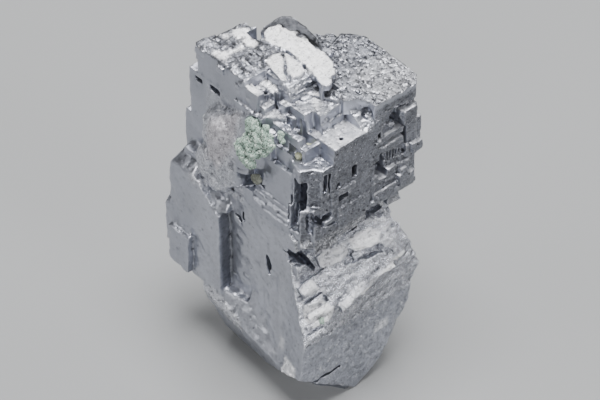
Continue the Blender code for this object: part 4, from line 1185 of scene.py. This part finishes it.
@dataclass
class CrustMineral:
    """One separate piece of a green or pale secondary mineral. Lengths are millimetres, the crease is in degrees."""

    node: str
    slot: str
    cell: float = 0.11
    lobe: float = 1.12
    lobe_height: float = -0.546
    grain: float = 0.35
    grain_height: float = 0.21
    triangles: int = 14000
    crease_depth: float = 0.022
    crease: float = 50.0

    def swell(self, piece: bpy.types.Object, size: float, height: float, pattern: Pattern) -> None:
        """Raise lumps all over the piece.

        Args:
            piece: the mineral's object.
            size: the lumps' size in millimetres.
            height: their height in millimetres.
            pattern: the texture's kind.
        """
        texture = bpy.data.textures.new("lumps", pattern.value)
        texture.noise_scale = size * MM
        apply_modifier(piece, "DISPLACE", texture=texture, texture_coords="LOCAL", strength=height * MM,
                       mid_level=0.5)
        bpy.data.textures.remove(texture)

    def build(self, material: bpy.types.Material) -> bpy.types.Object:
        """Make the piece.

        Args:
            material: its finish, shared with pieces of the same mineral.

        Returns:
            The finished piece.
        """
        piece = merged_copy(self.node, f"{self.node}_grains")
        apply_modifier(piece, "REMESH", mode="VOXEL", voxel_size=self.cell * MM, adaptivity=0.0)
        self.swell(piece, self.lobe, self.lobe_height, Pattern.CELLS)
        self.swell(piece, self.grain, self.grain_height, Pattern.WAVES)
        faces = sum(len(face.vertices) - 2 for face in piece.data.polygons)
        if faces > self.triangles:
            apply_modifier(piece, "DECIMATE", ratio=self.triangles / faces)
            drop_flaps(piece)
        mark_creases_and_edges(piece, self.crease_depth)
        only(piece)
        bpy.ops.object.shade_smooth_by_angle(angle=math.radians(self.crease))
        piece.data.materials.append(material)
        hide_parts(self.node)
        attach(piece, "root")
        return piece


@dataclass
class CrustMinerals:
    """All the separate mineral pieces on the galena."""

    green: CrustFinish = CrustFinish("mealy_green_crust", "8ba295", "e6f0e6", "2a3531")
    olive: CrustFinish = CrustFinish("mealy_olive_grain", "71746b", "96998e", "2f3029")
    pale: CrustFinish = CrustFinish("mealy_pale_grains", "babda0", "dfe1cd", "54583f")
    green_nodes: tuple[str, ...] = ("green_crust", "green_patch", "green_speck")
    olive_nodes: tuple[str, ...] = ("olive_grain",)
    pale_nodes: tuple[str, ...] = ("pale_grain_near", "pale_grain_far")

    def build(self) -> list[bpy.types.Object]:
        """Make every piece.

        Returns:
            The finished pieces.
        """
        made = []
        for nodes, slot, finish in ((self.green_nodes, "green_crust", self.green),
                                    (self.olive_nodes, "pale_grains", self.olive),
                                    (self.pale_nodes, "pale_grains", self.pale)):
            material = finish.build()
            made += [CrustMineral(node, slot).build(material) for node in nodes]
        return made


@dataclass(frozen=True)
class FloorFinish:
    """Pale grey cloth with a weave too fine to show, a plain matt surface."""

    colour: str = "929394"
    roughness: float = 0.9
    specular: float = 0.2

    def build(self) -> bpy.types.Material:
        """Make the material.

        Returns:
            A plain matt pale grey.
        """
        mat, shader = new_material("pale_matt_floor")
        shader.inputs["Base Color"].default_value = linear(self.colour)
        shader.inputs["Roughness"].default_value = self.roughness
        shader.inputs["Specular IOR Level"].default_value = self.specular
        return mat


@dataclass(frozen=True)
class SoftLight:
    """One large soft light: its place, size, power in watts and what it looks at. Lengths are metres."""

    name: str
    place: Triple
    size: float
    power: float
    target: Triple = (0.0, 0.0, 0.03)
    colour: str = "ffffff"


@dataclass
class Studio:
    """The plain floor, the soft lights and the camera.

    Angles are degrees. The floor, the distance and the nearest depth are metres, the lens and the sensor are
    millimetres, and the target is in crystal millimetres.
    """

    floor_size: float = 6.0
    finish: FloorFinish = FloorFinish()
    azimuth: float = -41.8
    elevation: float = 42.3
    distance: float = 0.560
    lens: float = 168.0
    sensor: float = 36.0
    nearest: float = 0.01
    target: Triple = (12.5125, 14.9060, 40.8598)
    world: float = 0.05
    lights: tuple[SoftLight, ...] = (
        SoftLight("top_softbox", (0.0, 0.0, 1.05), 0.6, 22.0),
        SoftLight("back_softbox", (0.5, 0.7, 0.77), 0.45, 3.6),
        SoftLight("left_softbox", (-0.85, 0.45, 0.52), 0.6, 2.8),
        SoftLight("near_left_softbox", (-0.7, -0.6, 0.55), 0.45, 3.9),
        SoftLight("front_softbox", (0.1, -1.0, 0.37), 0.25, 3.6),
        SoftLight("right_softbox", (0.9, -0.5, 0.45), 0.6, 3.0),
    )

    def build_floor(self) -> None:
        """A wide floor under the piece."""
        bpy.ops.mesh.primitive_plane_add(size=self.floor_size, location=(0.0, 0.0, 0.0))
        floor = bpy.context.active_object
        floor.name = "floor"
        floor.data.materials.append(self.finish.build())

    def build_lights(self) -> None:
        """The soft lights and the even light of the room."""
        for light in self.lights:
            data = bpy.data.lights.new(light.name, "AREA")
            data.shape = "SQUARE"
            data.size = light.size
            data.energy = light.power
            data.color = linear(light.colour)[:3]
            lamp = add_object(light.name, data)
            way = Vector(light.target) - Vector(light.place)
            lamp.matrix_world = Matrix.Translation(light.place) @ way.to_track_quat("-Z", "Y").to_matrix().to_4x4()
        world = bpy.data.worlds.new("soft_room")
        world.use_nodes = True
        back = world.node_tree.nodes["Background"]
        back.inputs["Color"].default_value = (1.0, 1.0, 1.0, 1.0)
        back.inputs["Strength"].default_value = self.world
        bpy.context.scene.world = world

    def build_camera(self) -> None:
        """The camera, a long lens looking down at the front edge."""
        azimuth = math.radians(self.azimuth)
        elevation = math.radians(self.elevation)
        back = Vector((math.sin(azimuth) * math.cos(elevation), -math.cos(azimuth) * math.cos(elevation),
                       math.sin(elevation)))
        right = Vector((math.cos(azimuth), math.sin(azimuth), 0.0))
        up = back.cross(right)
        data = bpy.data.cameras.new("studio_camera")
        data.sensor_width = self.sensor
        data.lens = self.lens
        data.clip_start = self.nearest
        camera = add_object("studio_camera", data)
        turn = Matrix((right, up, back)).transposed().to_4x4()
        camera.matrix_world = Matrix.Translation(at(self.target) + back * self.distance) @ turn
        bpy.context.scene.camera = camera

    def build(self) -> None:
        """Set the studio up."""
        self.build_floor()
        self.build_lights()
        self.build_camera()


def write_sizes() -> None:
    """Bring the scene's view layer up to date."""
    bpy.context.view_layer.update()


def main() -> None:
    """Build every sub-assembly in order and report each piece."""
    logging.basicConfig(level=logging.INFO, format="%(name)s: %(message)s")
    piece = GalenaCrystals().build()
    LOG.info("%s has %d triangles", piece.name, len(piece.data.polygons))
    for grains in CrustMinerals().build():
        LOG.info("%s has %d triangles", grains.name, len(grains.data.polygons))
    Studio().build()
    LOG.info("studio is set")
    write_sizes()


if __name__ == "__main__":
    main()
